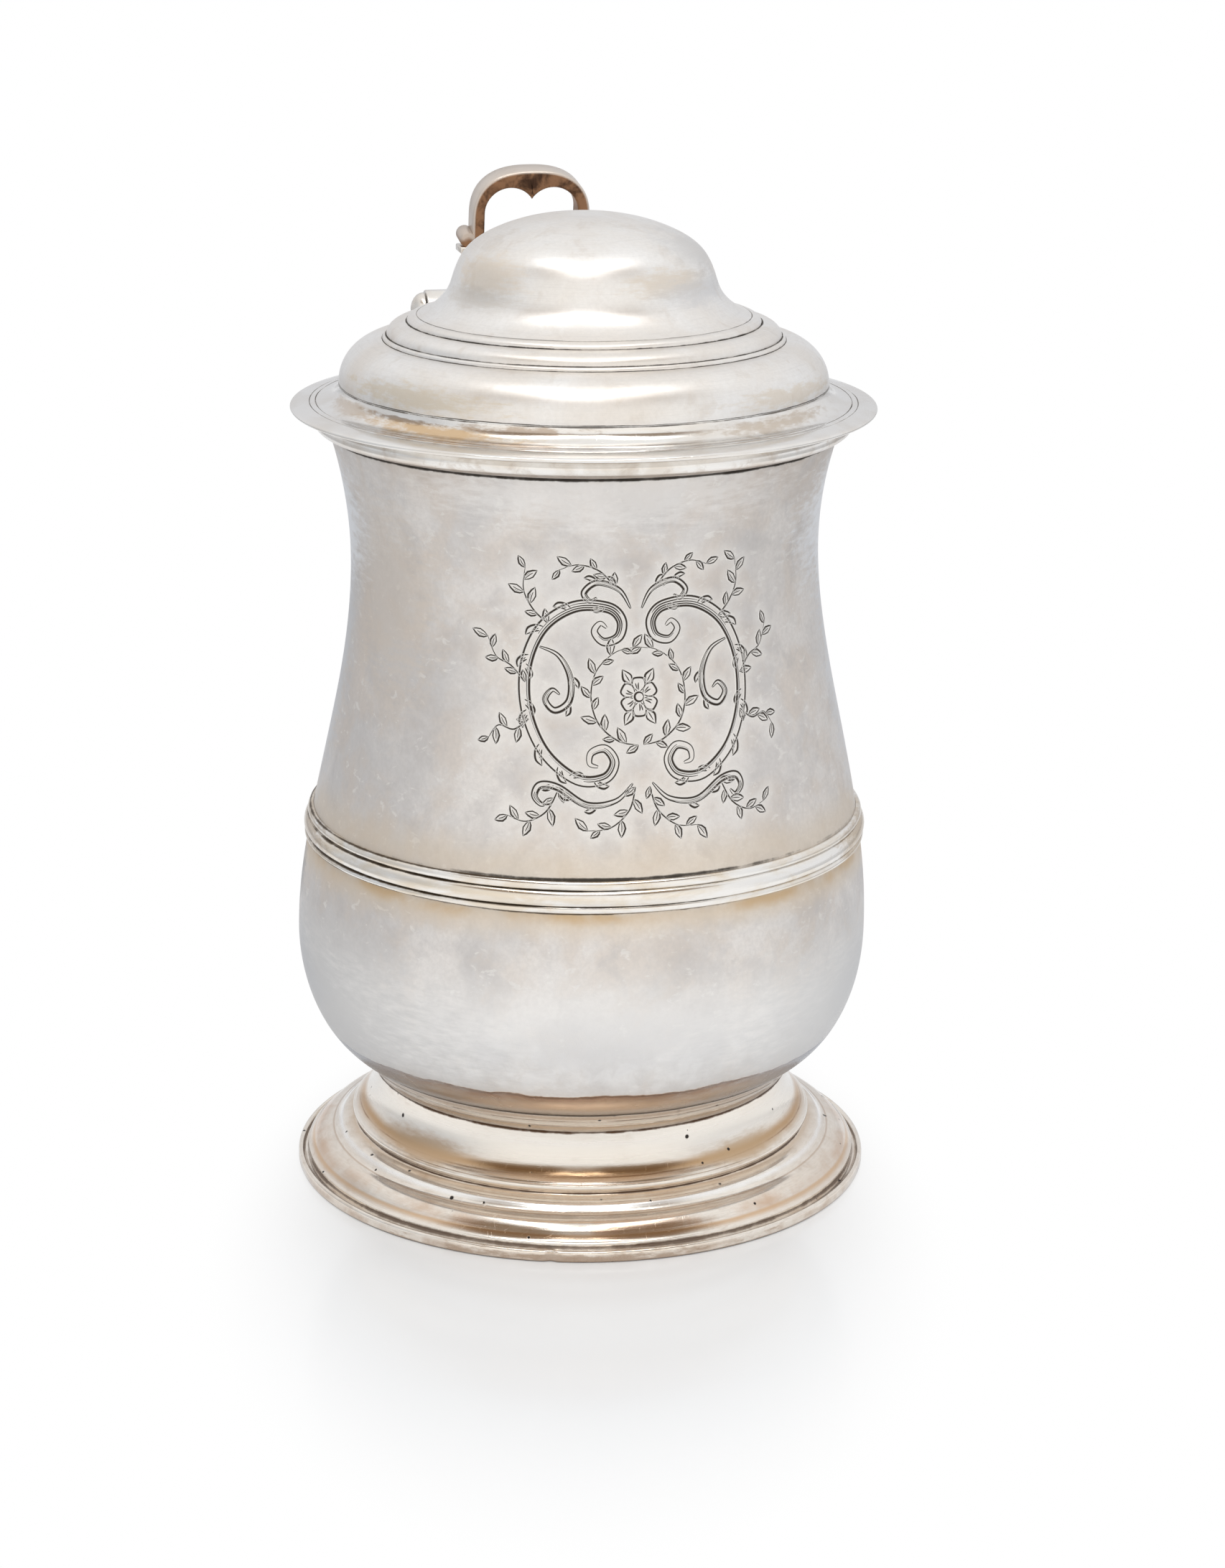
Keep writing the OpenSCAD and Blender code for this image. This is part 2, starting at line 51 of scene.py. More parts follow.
class wire:
    def __init__(self, tree, socket):
        self.tree = tree
        self.socket = socket

    def __add__(self, other):
        return calc("ADD", self, other)

    def __sub__(self, other):
        return calc("SUBTRACT", self, other)

    def __rsub__(self, other):
        return calc("SUBTRACT", other, self)

    def __mul__(self, other):
        return calc("MULTIPLY", self, other)

    def __truediv__(self, other):
        return calc("DIVIDE", self, other)

    def __rtruediv__(self, other):
        return calc("DIVIDE", other, self)

    __radd__ = __add__
    __rmul__ = __mul__


def send(value, socket):
    if isinstance(value, wire):
        value.tree.links.new(value.socket, socket)
    else:
        socket.default_value = value


def addNode(tree, kind, inputs, **settings):
    node = tree.nodes.new(kind)
    for name, value in settings.items():
        setattr(node, name, value)
    for name, value in inputs.items():
        send(value, node.inputs[name])
    return node


def ports(tree, node):
    return {socket.name: wire(tree, socket) for socket in node.outputs}


def flow(tree, kind, inputs, port=0, **settings):
    return wire(tree, addNode(tree, kind, inputs, **settings).outputs[port])


def calc(operation, first, second=0.0, clamp=False):
    tree = first.tree if isinstance(first, wire) else second.tree
    return flow(tree, "ShaderNodeMath", {0: first, 1: second}, operation=operation, use_clamp=clamp)


def vectors(operation, first, second=(0.0, 0.0, 0.0), port=0):
    return flow(first.tree, "ShaderNodeVectorMath", {0: first, 1: second}, port, operation=operation)


def split(place):
    return list(ports(place.tree, addNode(place.tree, "ShaderNodeSeparateXYZ", {0: place})).values())


def mapped(place, scale=(1.0, 1.0, 1.0), turn=(0.0, 0.0, 0.0)):
    return flow(place.tree, "ShaderNodeMapping", {"Vector": place, "Rotation": turn, "Scale": scale})


def noiseAt(place, scale, detail, rough=0.5, twist=0.0):
    inputs = {"Vector": place, "Scale": scale, "Detail": detail, "Roughness": rough, "Distortion": twist}
    return flow(place.tree, "ShaderNodeTexNoise", inputs, "Fac")


def mapRange(value, low, high, toLow=0.0, toHigh=1.0):
    inputs = {"Value": value, "From Min": low, "From Max": high, "To Min": toLow, "To Max": toHigh}
    return flow(value.tree, "ShaderNodeMapRange", inputs, interpolation_type="SMOOTHSTEP")


def mixColour(mask, first, second):
    first, second = (c + (1.0,) if isinstance(c, tuple) else c for c in (first, second))
    return flow(mask.tree, "ShaderNodeMix", {0: mask, 6: first, 7: second}, 2, data_type="RGBA")


def newGroup(kind, name, given, made):
    # given holds each input's first value, or its sort where it has none
    group = bpy.data.node_groups.new(name, kind)
    for label, value in given.items():
        sort = value if isinstance(value, str) else type(value).__name__.capitalize()
        socket = group.interface.new_socket(label, in_out="INPUT", socket_type="NodeSocket" + sort)
        if sort != value:
            socket.default_value = value
    for label, sort in made.items():
        group.interface.new_socket(label, in_out="OUTPUT", socket_type="NodeSocket" + sort)
    into = ports(group, group.nodes.new("NodeGroupInput"))
    return group, into, group.nodes.new("NodeGroupOutput").inputs


def maskGroup(name, **given):
    return newGroup("ShaderNodeTree", name, dict({"Place": "Vector"}, **given), {"Mask": "Float"})


def useGroup(tree, group, *sources):
    # each input takes its value from the first source that knows its name
    node = tree.nodes.new("ShaderNodeGroup")
    node.node_tree = group
    for socket in node.inputs:
        for source in sources:
            if socket.name in source:
                send(source[socket.name], socket)
                break
    return ports(tree, node)


# Shader groups that the silver finishes share

def makeTurnedPlace():
    # height, radius and angle of a point about the tankard's axis, in millimetres and radians
    made = {"Height": "Float", "Radius": "Float", "Angle": "Float", "Place": "Vector"}
    group, given, out = newGroup("ShaderNodeTree", "turnedPlace", {}, made)
    place = vectors("MULTIPLY", flow(group, "ShaderNodeTexCoord", {}, "Object"), (1 / mm,) * 3)
    x, y, z = split(place)
    radius = vectors("LENGTH", vectors("MULTIPLY", place, (1.0, 1.0, 0.0)), port="Value")
    angle = calc("ARCTAN2", x, y * -1.0)
    for label, value in zip(made, (z, radius, angle, place)):
        send(value, out[label])
    return group


def makePatches():
    # soft patches of tarnish: noise in millimetres, sharpened by a threshold
    group, given, out = maskGroup(
        "tarnishPatches", Size=20.0, Level=0.5, Softness=0.15, Stretch=1.0, Shift=0.0)
    stretch = flow(group, "ShaderNodeCombineXYZ", {0: 1.0, 1: 1.0, 2: given["Stretch"]})
    moved = vectors("ADD", vectors("MULTIPLY", given["Place"], stretch), given["Shift"])
    field = noiseAt(moved, 1.0 / given["Size"], detail=5.0, rough=0.6, twist=0.4)
    low, high = given["Level"] - given["Softness"], given["Level"] + given["Softness"]
    send(mapRange(field, low, high), out["Mask"])
    return group


def makeStainBand():
    # a band that runs round the piece at one height, with a ragged edge: real tarnish, and also painted
    # reflections, a painted highlight and a painted shadow
    group, given, out = maskGroup(
        "stainBand", Height=0.0, Middle=0.0, Above=5.0, Below=5.0, Ragged=3.0, Grain=12.0)
    field = noiseAt(given["Place"], 1.0 / given["Grain"], detail=6.0, rough=0.62)
    away = given["Height"] - given["Middle"] + (field - 0.5) * given["Ragged"]
    away = calc("MAXIMUM", away / given["Above"], away * -1.0 / given["Below"])
    send(mapRange(away, 0.0, 1.0, 1.0, 0.0), out["Mask"])
    return group


def makeGrimeLine():
    # a dark line in a crease at one radius and height, broken along its length: dirt in the crease, and
    # painted shade where the crease would lie in shadow
    group, given, out = maskGroup(
        "creaseDirtAndShadeLine", Height=0.0, Radius=0.0, AtHeight=0.0, AtRadius=0.0, Width=0.3, Broken=0.5,
        Shift=0.0)
    up = given["Height"] - given["AtHeight"]
    along = given["Radius"] - given["AtRadius"]
    away = calc("SQRT", up * up + along * along)
    field = noiseAt(vectors("ADD", given["Place"], given["Shift"]), 0.09, detail=6.0, rough=0.7)
    width = given["Width"] * mapRange(field, 0.34, 0.64, 0.65, 1.4)
    near = mapRange(away / width, 0.35, 1.0, 1.0, 0.0)
    keep = 1.0 - given["Broken"] * (1.0 - mapRange(field, 0.3, 0.55))
    send(near * keep, out["Mask"])
    return group


def makeStainSpot():
    # one spot of colour at a given angle (degrees) and height, with a ragged edge: real tarnish, and also
    # painted shade and sheen at the sides as seen from the camera
    group, given, out = maskGroup(
        "stainSpot", Height=0.0, Radius=0.0, Angle=0.0, AtAngle=0.0, AtHeight=0.0, Wide=10.0,
        Tall=2.0, Ragged=0.8)
    swing = given["Angle"] - calc("RADIANS", given["AtAngle"])
    along = swing * given["Radius"] / given["Wide"]
    up = (given["Height"] - given["AtHeight"]) / given["Tall"]
    field = noiseAt(mapped(given["Place"], (0.22, 0.22, 0.9)), 1.0, detail=6.0, rough=0.65)
    away = calc("SQRT", along * along + up * up) + (field - 0.5) * (given["Ragged"] * 4.0)
    send(mapRange(away, 0.3, 1.1, 1.0, 0.0), out["Mask"])
    return group


def makePits():
    # small black casting pits, few and far apart
    group, given, out = maskGroup("castingPits", Spacing=9.0, Size=0.35, Share=0.3)
    scale = 1.0 / given["Spacing"]
    cells = {"Vector": given["Place"], "Scale": scale}
    cells = ports(group, addNode(group, "ShaderNodeTexVoronoi", cells))
    pick = ports(group, addNode(group, "ShaderNodeSeparateColor", {0: cells["Color"]}))
    size = given["Size"] * scale * (pick["Green"] + 0.4)
    near = mapRange(cells["Distance"] / size, 0.6, 1.0, 1.0, 0.0)
    send(near * calc("LESS_THAN", pick["Red"], given["Share"]), out["Mask"])
    return group


# Scratches: scale, turn and threshold
wearShape = {
    "ringStep": 2.2, "ringTurn": 0.7, "scratchRough": 0.3,
    "scratches": [
        ((0.35, 3.2, 0.35), (0.4, 0.7, 0.5), (0.66, 0.74)),
        ((3.4, 0.3, 0.45), (-0.5, 0.3, -0.9), (0.67, 0.74))]}


def makeFineWear():
    # fine scratches, lathe lines and grain as one height, with a roughness change
    inputs = dict(Place="Vector", Height=0.0, Radius=0.0, Angle=0.0, Lathe=0.3, Scratch=0.3, Grain=0.3)
    made = {"Height": "Float", "Rough": "Float"}
    group, given, out = newGroup("ShaderNodeTree", "fineWear", inputs, made)
    w = wearShape
    steps = {"Height": w["ringStep"], "Radius": w["ringStep"], "Angle": w["ringTurn"]}
    ring = enumerate([given[label] * step for label, step in steps.items()])
    ring = flow(group, "ShaderNodeCombineXYZ", dict(ring))
    lathe = noiseAt(ring, 1.0, detail=4.0, rough=0.65)
    scratch = 0.0
    for scale, turn, edge in w["scratches"]:
        scratch = scratch + mapRange(noiseAt(mapped(given["Place"], scale, turn), 1.0, detail=3.0), *edge)
    grain = noiseAt(given["Place"], 3.6, detail=3.0, rough=0.7)
    height = lathe * given["Lathe"] + grain * given["Grain"] - scratch * given["Scratch"]
    rough = (lathe - 0.5) * given["Lathe"] + scratch * (given["Scratch"] * w["scratchRough"])
    send(height, out["Height"])
    send(rough, out["Rough"])
    return group


turnedPlace = makeTurnedPlace()
tarnishPatches = makePatches()
stainBand = makeStainBand()
creaseDirtAndShadeLine = makeGrimeLine()
fineWear = makeFineWear()
stainSpot = makeStainSpot()
castingPits = makePits()
print("shader groups made")

# Silver finishes: what all have in common, and the columns of their rows of stains, painted reflections
# and painted shade

silver = {
    "gloss": 0.3, "edge": (0.8, 0.81, 0.83), "roughWear": 0.15, "patches": [], "bands": [], "spots": [],
    "lines": [], "wearDepth": 0.06 * mm, "lineShift": 17, "bandBreak": 0.16, "filmEdge": (0.15, 0.85),
    "cutLoss": 0.8, "pitLoss": 1, "pitDepth": 3, "grimeLoss": 0.7, "grimeRough": 0.3}
patchKeys = ("Size", "Level", "Softness", "Shift", "Stretch", "amount", "colour", "rough", "metallic")
bandKeys = (
    "Middle", "Above", "Below", "Ragged", "Grain", "patch", "amount", "colour", "rough", "metallic")
spotKeys = ("AtAngle", "AtHeight", "Wide", "Tall", "Ragged", "amount", "colour", "rough")
lineKeys = ("AtRadius", "AtHeight", "Width", "amount", "Broken")


def attribute(tree, name):
    return flow(tree, "ShaderNodeAttribute", {}, "Fac", attribute_name=name)


# lays one row of colour on the surface; the rows are real tarnish and also painted reflections, highlights
# and shade
def layOn(surface, mask, stain):
    mask = mask * stain["amount"]
    surface["colour"] = mixColour(mask, surface["colour"], stain["colour"])
    for part in ("rough", "metallic"):
        if stain.get(part):
            surface[part] = surface[part] + mask * stain[part]


def dull(surface, mask, colour, loss):
    surface["colour"] = mixColour(mask, surface["colour"], colour)
    surface["metallic"] = surface["metallic"] * (1.0 - mask * loss)


def agedSilver(name, look):
    # one silver finish from its dictionary: metal, stains and painted light, wear, pits, and dark crease
    # lines of dirt and painted shade
    material = bpy.data.materials.new(name)
    material.use_nodes = True
    tree = material.node_tree
    place = useGroup(tree, turnedPlace)
    surface = {"colour": look["metal"], "rough": look["rough"], "metallic": look["metallic"]}
    for row in look["patches"]:
        patch = dict(zip(patchKeys, row))
        layOn(surface, useGroup(tree, tarnishPatches, place, patch)["Mask"], patch)
    if "burnish" in look:
        layOn(surface, attribute(tree, "burnish"), look["burnish"])
    if "tarnish" in look:
        film = look["tarnish"]
        share = attribute(tree, "tarnish")
        mask = useGroup(tree, tarnishPatches, place, film)["Mask"]
        brown = mixColour(mask, film["colour"], film["dark"])
        surface["colour"] = mixColour(mapRange(share, *look["filmEdge"]), surface["colour"], brown)
        surface["rough"] = surface["rough"] + share * film["rough"]
    for row in look["bands"]:
        band = dict(zip(bandKeys, row))
        mask = useGroup(tree, stainBand, place, band)["Mask"]
        if band["patch"]:
            gaps = {"Size": band["patch"], "Softness": look["bandBreak"], "Shift": band["Middle"]}
            mask = mask * useGroup(tree, tarnishPatches, place, gaps)["Mask"]
        layOn(surface, mask, band)
    for row in look["spots"]:
        spot = dict(zip(spotKeys, row))
        layOn(surface, useGroup(tree, stainSpot, place, spot)["Mask"], spot)
    wear = useGroup(tree, fineWear, place, look)
    height = wear["Height"]
    rough = calc("ADD", surface["rough"], wear["Rough"] * look["roughWear"], clamp=True)
    if "pits" in look:
        mask = useGroup(tree, castingPits, place, look["pits"])["Mask"]
        dull(surface, mask, look["pits"]["colour"], look["pitLoss"])
        height = height - mask * look["pitDepth"]
    # a dark fill in the middle of each cut: oxide in the groove, and painted shade of the recess
    if "cut" in look:
        dull(surface, attribute(tree, "cut"), look["cut"], look["cutLoss"])
    dark = None
    # dark lines in the creases: dirt, and painted shade where a crease would lie in shadow
    for number, row in enumerate(look["lines"]):
        line = dict(zip(lineKeys, row), Shift=look["lineShift"] * number)
        mask = useGroup(tree, creaseDirtAndShadeLine, place, line)["Mask"] * line["amount"]
        dark = calc("MAXIMUM", dark, mask) if dark else mask
    if dark:
        dull(surface, dark, look["grime"], look["grimeLoss"])
        rough = calc("ADD", rough, dark * look["grimeRough"], clamp=True)
    bump = {"Height": height, "Strength": look["bump"], "Distance": look["wearDepth"]}
    values = {"Base Color": surface["colour"], "Roughness": rough, "Metallic": surface["metallic"],
              "Normal": flow(tree, "ShaderNodeBump", bump), "Specular IOR Level": look["gloss"],
              "Specular Tint": look["edge"] + (1.0,)}
    for label, value in values.items():
        send(value, tree.nodes["Principled BSDF"].inputs[label])
    return material


# Turned pieces: a profile curve swept round the axis by a Geometry Nodes tree

turning = {
    "segments": 256, "pathRadius": 1.0 * mm, "mergeAt": 0.004 * mm, "weldAt": 0.002 * mm,
    "thinAt": 0.001 * mm, "sharp": 32}


def finishTree(tree, mesh, given, out):
    smooth = flow(tree, "GeometryNodeSetShadeSmooth", {"Geometry": mesh})
    real = flow(tree, "GeometryNodeRealizeInstances", {"Geometry": smooth})
    painted = {"Geometry": real, "Material": given["Finish"]}
    send(flow(tree, "GeometryNodeSetMaterial", painted), out["Geometry"])
    return tree


def makeTurnedTree():
    inputs = {
        "Profile": "Geometry", "Segments": turning["segments"], "Path Radius": turning["pathRadius"],
        "Merge Distance": turning["mergeAt"], "Finish": "Material"}
    tree, given, out = newGroup("GeometryNodeTree", "turnedPiece", inputs, {"Geometry": "Geometry"})
    circle = {"Resolution": given["Segments"], "Radius": given["Path Radius"]}
    path = flow(tree, "GeometryNodeCurvePrimitiveCircle", circle)
    level = flow(tree, "GeometryNodeSetCurveNormal", {"Curve": path}, mode="Z_UP")
    swept = flow(tree, "GeometryNodeCurveToMesh", {"Curve": level, "Profile Curve": given["Profile"]})
    weld = {"Geometry": swept, "Distance": given["Merge Distance"]}
    return finishTree(tree, flow(tree, "GeometryNodeMergeByDistance", weld), given, out)


turnedTree = makeTurnedTree()


def addObject(name, data):
    made = bpy.data.objects.new(name, data)
    scene.collection.objects.link(made)
    return made


def evaluatedMesh(source):
    graph = bpy.context.evaluated_depsgraph_get()
    return bpy.data.meshes.new_from_object(source.evaluated_get(graph), depsgraph=graph)


def bakeNodes(source, tree, name, values):
    # runs a tree on an object and keeps the result as a plain mesh object at the origin
    modifier = source.modifiers.new("make", "NODES")
    modifier.node_group = tree
    for item in tree.interface.items_tree:
        if item.in_out == "INPUT" and item.name in values:
            modifier[item.identifier] = values[item.name]
    mesh = evaluatedMesh(source)
    source.modifiers.remove(modifier)
    bpy.data.objects.remove(source)
    mesh.name = name
    return addObject(name, mesh)


def polyCurve(name, lines, closed=False):
    # lines are lists of (x, y, z, radius)
    curve = bpy.data.curves.new(name, "CURVE")
    curve.dimensions = "3D"
    for points in lines:
        spline = curve.splines.new("POLY")
        spline.points.add(len(points) - 1)
        for point, (x, y, z, radius) in zip(spline.points, points):
            point.co = (x, y, z, 1.0)
            point.radius = radius
        spline.use_cyclic_u = closed
    return addObject(name, curve)


def tidyMesh(made, sharp):
    # closes seams, turns the faces outwards and keeps hard edges crisp
    work = bmesh.new()
    work.from_mesh(made.data)
    bmesh.ops.remove_doubles(work, verts=work.verts, dist=turning["weldAt"])
    bmesh.ops.dissolve_degenerate(work, edges=work.edges, dist=turning["thinAt"])
    bmesh.ops.recalc_face_normals(work, faces=work.faces)
    work.to_mesh(made.data)
    work.free()
    made.data.set_sharp_from_angle(angle=radians(sharp))
    return made


def turned(name, profile, finish, closed=True, segments=turning["segments"]):
    points = [(r * mm - turning["pathRadius"], -z * mm, 0.0, 1.0) for r, z in profile]
    made = bakeNodes(polyCurve(name + "Profile", [points], closed), turnedTree, name, {
        "Segments": segments, "Path Radius": turning["pathRadius"], "Merge Distance": turning["mergeAt"],
        "Finish": finish})
    return tidyMesh(made, turning["sharp"])


def setDown(piece, body, slot, *nodes):
    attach(piece, body)
    if nodes:
        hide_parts(*nodes)
    return piece


# Curves in the (radius, height) plane, millimetres

def spread(low, high, count):
    return [low + (high - low) * i / count for i in range(count + 1)]


def roundOut(r, z, width, height, count):
    return [(r + width * sin(t), z - height * (1 - cos(t))) for t in spread(0, pi / 2, count)]


def hollowIn(r, z, width, height, count):
    return [(r + width * (1 - cos(t)), z - height * sin(t)) for t in spread(0, pi / 2, count)]


def arc(r, z, width, height, low, high, count):
    return [(r + width * cos(a), z + height * sin(a)) for a in spread(low, high, count)]


def smoothLine(points, steps):
    # a Catmull-Rom line through the points
    made = []
    padded = [points[0]] + list(points) + [points[-1]]
    for i in range(1, len(padded) - 2):
        a, b, c, d = (Vector(p) for p in padded[i - 1:i + 3])
        for step in range(steps):
            t = step / steps
            made.append(tuple(0.5 * ((2 * b) + (c - a) * t + (2 * a - 5 * b + 4 * c - d) * t * t
                                     + (3 * b - a - 3 * c + d) * t ** 3)))
    made.append(tuple(points[-1]))
    return made


# The raised body

bodyShape = {
    "seatR": 48, "seatZ": 26.4, "turnZ": 34, "bellyR": 59.1, "bellyZ": 52, "bellyUnder": 1.5,
    "waistR": 47.5, "waistZ": 132, "lipR": 51.3, "lipZ": 156.3, "mouthZ": 160.4, "mouthEdge": 0.3,
    "wall": 0.9, "floorR": 44, "rings": (14, 18, 96), "ringsInside": (60, 20), "bow": 0.8, "bowZ": 98,
    "bowSpan": 52, "dents": 0.05, "dentR": 55, "dentScale": 0.045, "dentFine": 2.3}
viewTurn = radians(-12.0)
viewRight = Vector((cos(viewTurn), sin(viewTurn), 0.0))


def bodyRadius(z):
    b = bodyShape
    if z < b["bellyZ"]:
        tall = b["bellyZ"] - b["seatZ"] + b["bellyUnder"]
        wide = (b["bellyR"] - b["seatR"]) / (1 - sqrt(1 - ((b["bellyZ"] - b["seatZ"]) / tall) ** 2))
        return b["bellyR"] - wide + wide * sqrt(max(0.0, 1 - ((b["bellyZ"] - z) / tall) ** 2))
    if z < b["waistZ"]:
        t = (z - b["bellyZ"]) / (b["waistZ"] - b["bellyZ"])
        return b["bellyR"] + (b["waistR"] - b["bellyR"]) * t * t * (3 - 2 * t)
    t = min(1.0, (z - b["waistZ"]) / (b["lipZ"] - b["waistZ"]))
    return b["waistR"] + (b["lipR"] - b["waistR"]) * t * t


def bowAt(z):
    # the body was raised by hand, and leans a hair to one side at mid height
    t = (z - bodyShape["bowZ"]) / bodyShape["bowSpan"]
    return bodyShape["bow"] * max(0.0, 1 - t * t) ** 2 if abs(t) < 1 else 0.0


def dentAt(angle, z):
    # planishing marks, the same for the wall and for the lines cut into it
    b = bodyShape
    spot = Vector((sin(angle) * b["dentR"], -cos(angle) * b["dentR"], z)) * b["dentScale"]
    return noise.noise(spot) + 0.5 * noise.noise(spot * b["dentFine"])


def handRaise(piece, dents):
    for vertex in piece.data.vertices:
        z = vertex.co.z / mm
        flat = Vector((vertex.co.x, vertex.co.y, 0.0))
        if flat.length > 1e-6 and dents:
            vertex.co += flat.normalized() * dentAt(atan2(flat.x, -flat.y), z) * dents * mm
        vertex.co += viewRight * bowAt(z) * mm
    piece.data.update()


bodyLook = dict(
    silver, metal=(0.83, 0.795, 0.765), metallic=0.5, rough=0.36, Lathe=0.3, Scratch=0.6, Grain=0.95,
    bump=0.5, roughWear=0.2, grime=(0.05, 0.042, 0.034), gloss=0.15, edge=(0.55, 0.575, 0.62),
    burnish={"colour": (0.88, 0.855, 0.82), "amount": 0.5, "rough": -0.04},
    patches=[
        (30, 0.5, 0.13, 3, 1, 0.9, (0.66, 0.64, 0.63), 0.08, -0.08),
        (13, 0.54, 0.1, 41, 1, 0.5, (0.70, 0.615, 0.54), 0.05),
        (9, 0.58, 0.09, 91, 1, 0.5, (0.60, 0.575, 0.565), 0.05),
        (3, 0.63, 0.04, 77, 1.6, 0.6, (0.88, 0.86, 0.83), 0.1),
        (0.9, 0.5, 0.2, 4, 1, 0.26, (0.56, 0.53, 0.505))],
    bands=[
        (80, 8, 8, 6, 12, 0, 0.48, (0.74, 0.615, 0.46)),
        (71, 3, 6, 4, 9, 0, 0.55, (0.74, 0.60, 0.43)),
        (71.5, 2, 2.6, 3, 7, 15, 0.8, (0.64, 0.45, 0.25)),
        (47, 17, 24, 14, 26, 0, 0.66, (0.93, 0.92, 0.905), -0.06, 0.34),
        # painted shade: a darker brownish band just under the lip moulding, in patches
        (157, 4, 12, 8, 16, 30, 0.55, (0.60, 0.51, 0.43)),
        (38, 9, 8, 8, 6, 4.5, 0.6, (0.97, 0.965, 0.96), 0.12, -0.3),
        (42, 12, 10, 8, 6, 11, 0.4, (0.74, 0.735, 0.745)),
        # painted reflection: these three rows paint the foot's brown reflection low on the belly, edged by
        # a thin dark line
        (32.8, 0.35, 40, 2.6, 11, 0, 0.94, (0.70, 0.55, 0.41), -0.22, 0.45),
        (32.7, 0.4, 3.2, 2.6, 11, 0, 0.85, (0.38, 0.25, 0.185)),
        (32.7, 0.25, 0.6, 2.6, 11, 0, 0.75, (0.17, 0.105, 0.075))],
    spots=[
        # painted shade: the first four spots grey both sides of the body as seen, at mid height and low on
        # the belly
        (-104, 112, 20, 44, 0.3, 0.9, (0.67, 0.68, 0.70)),
        (80, 112, 18, 44, 0.3, 0.9, (0.76, 0.77, 0.79)),
        (-84, 40, 60, 24, 0.25, 0.85, (0.625, 0.618, 0.61)),
        (58, 39, 52, 24, 0.25, 0.8, (0.70, 0.696, 0.69)),
        (-99, 64, 9, 9, 0.5, 0.6, (0.42, 0.425, 0.43)),
        (-66, 128, 18, 24, 0.4, 0.5, (0.76, 0.67, 0.58)),
        (-4, 153, 46, 9, 0.5, 0.5, (0.90, 0.88, 0.86)),
        # painted sheen: the last two spots put bluish white high on both sides of the body as seen
        (-100, 140, 24, 17, 0.4, 0.85, (0.90, 0.92, 0.95)),
        (76, 140, 26, 17, 0.4, 0.85, (0.92, 0.94, 0.97))],
    lines=[
        # the first line is a painted shadow under the lip moulding; the others are dirt and painted shade
        # in the creases at the girdle and the foot
        (51.2, 155.95, 0.5, 1, 0.1), (57.3, 72, 0.3, 0.85, 0.4), (56.2, 78.5, 0.42, 0.95, 0.3),
        (48, 26.4, 0.3, 0.8, 0.5)])
bodyFinish = agedSilver("hazySilver", bodyLook)


def makeBody():
    b = bodyShape
    stops = [b["seatZ"], b["turnZ"], b["bellyZ"], b["lipZ"]]
    levels = stops[:1]
    for low, high, count in zip(stops, stops[1:], b["rings"]):
        levels += spread(low, high, count)[1:]
    profile = [(0.0, b["seatZ"])] + [(bodyRadius(z), z) for z in levels]
    profile += [(b["lipR"], b["mouthZ"] - b["mouthEdge"]), (b["lipR"] - b["mouthEdge"], b["mouthZ"]),
                (b["lipR"] - b["wall"], b["mouthZ"])]
    floorZ = b["seatZ"] + b["wall"]
    upper, lower = b["ringsInside"]
    levels = spread(b["lipZ"], b["bellyZ"], upper) + spread(b["bellyZ"], floorZ + 1, lower)[1:]
    profile += [(bodyRadius(z) - b["wall"], z) for z in levels] + [(b["floorR"], floorZ), (0.0, floorZ)]
    body = turned("raisedBody", profile, bodyFinish, closed=False)
    handRaise(body, b["dents"])
    return setDown(body, "vessel", "silver", "body_shell")


raisedBody = makeBody()
print("body raised")

# Engraved cartouche on the front: leafy scrolls round a flower, mirrored left and right, no lettering

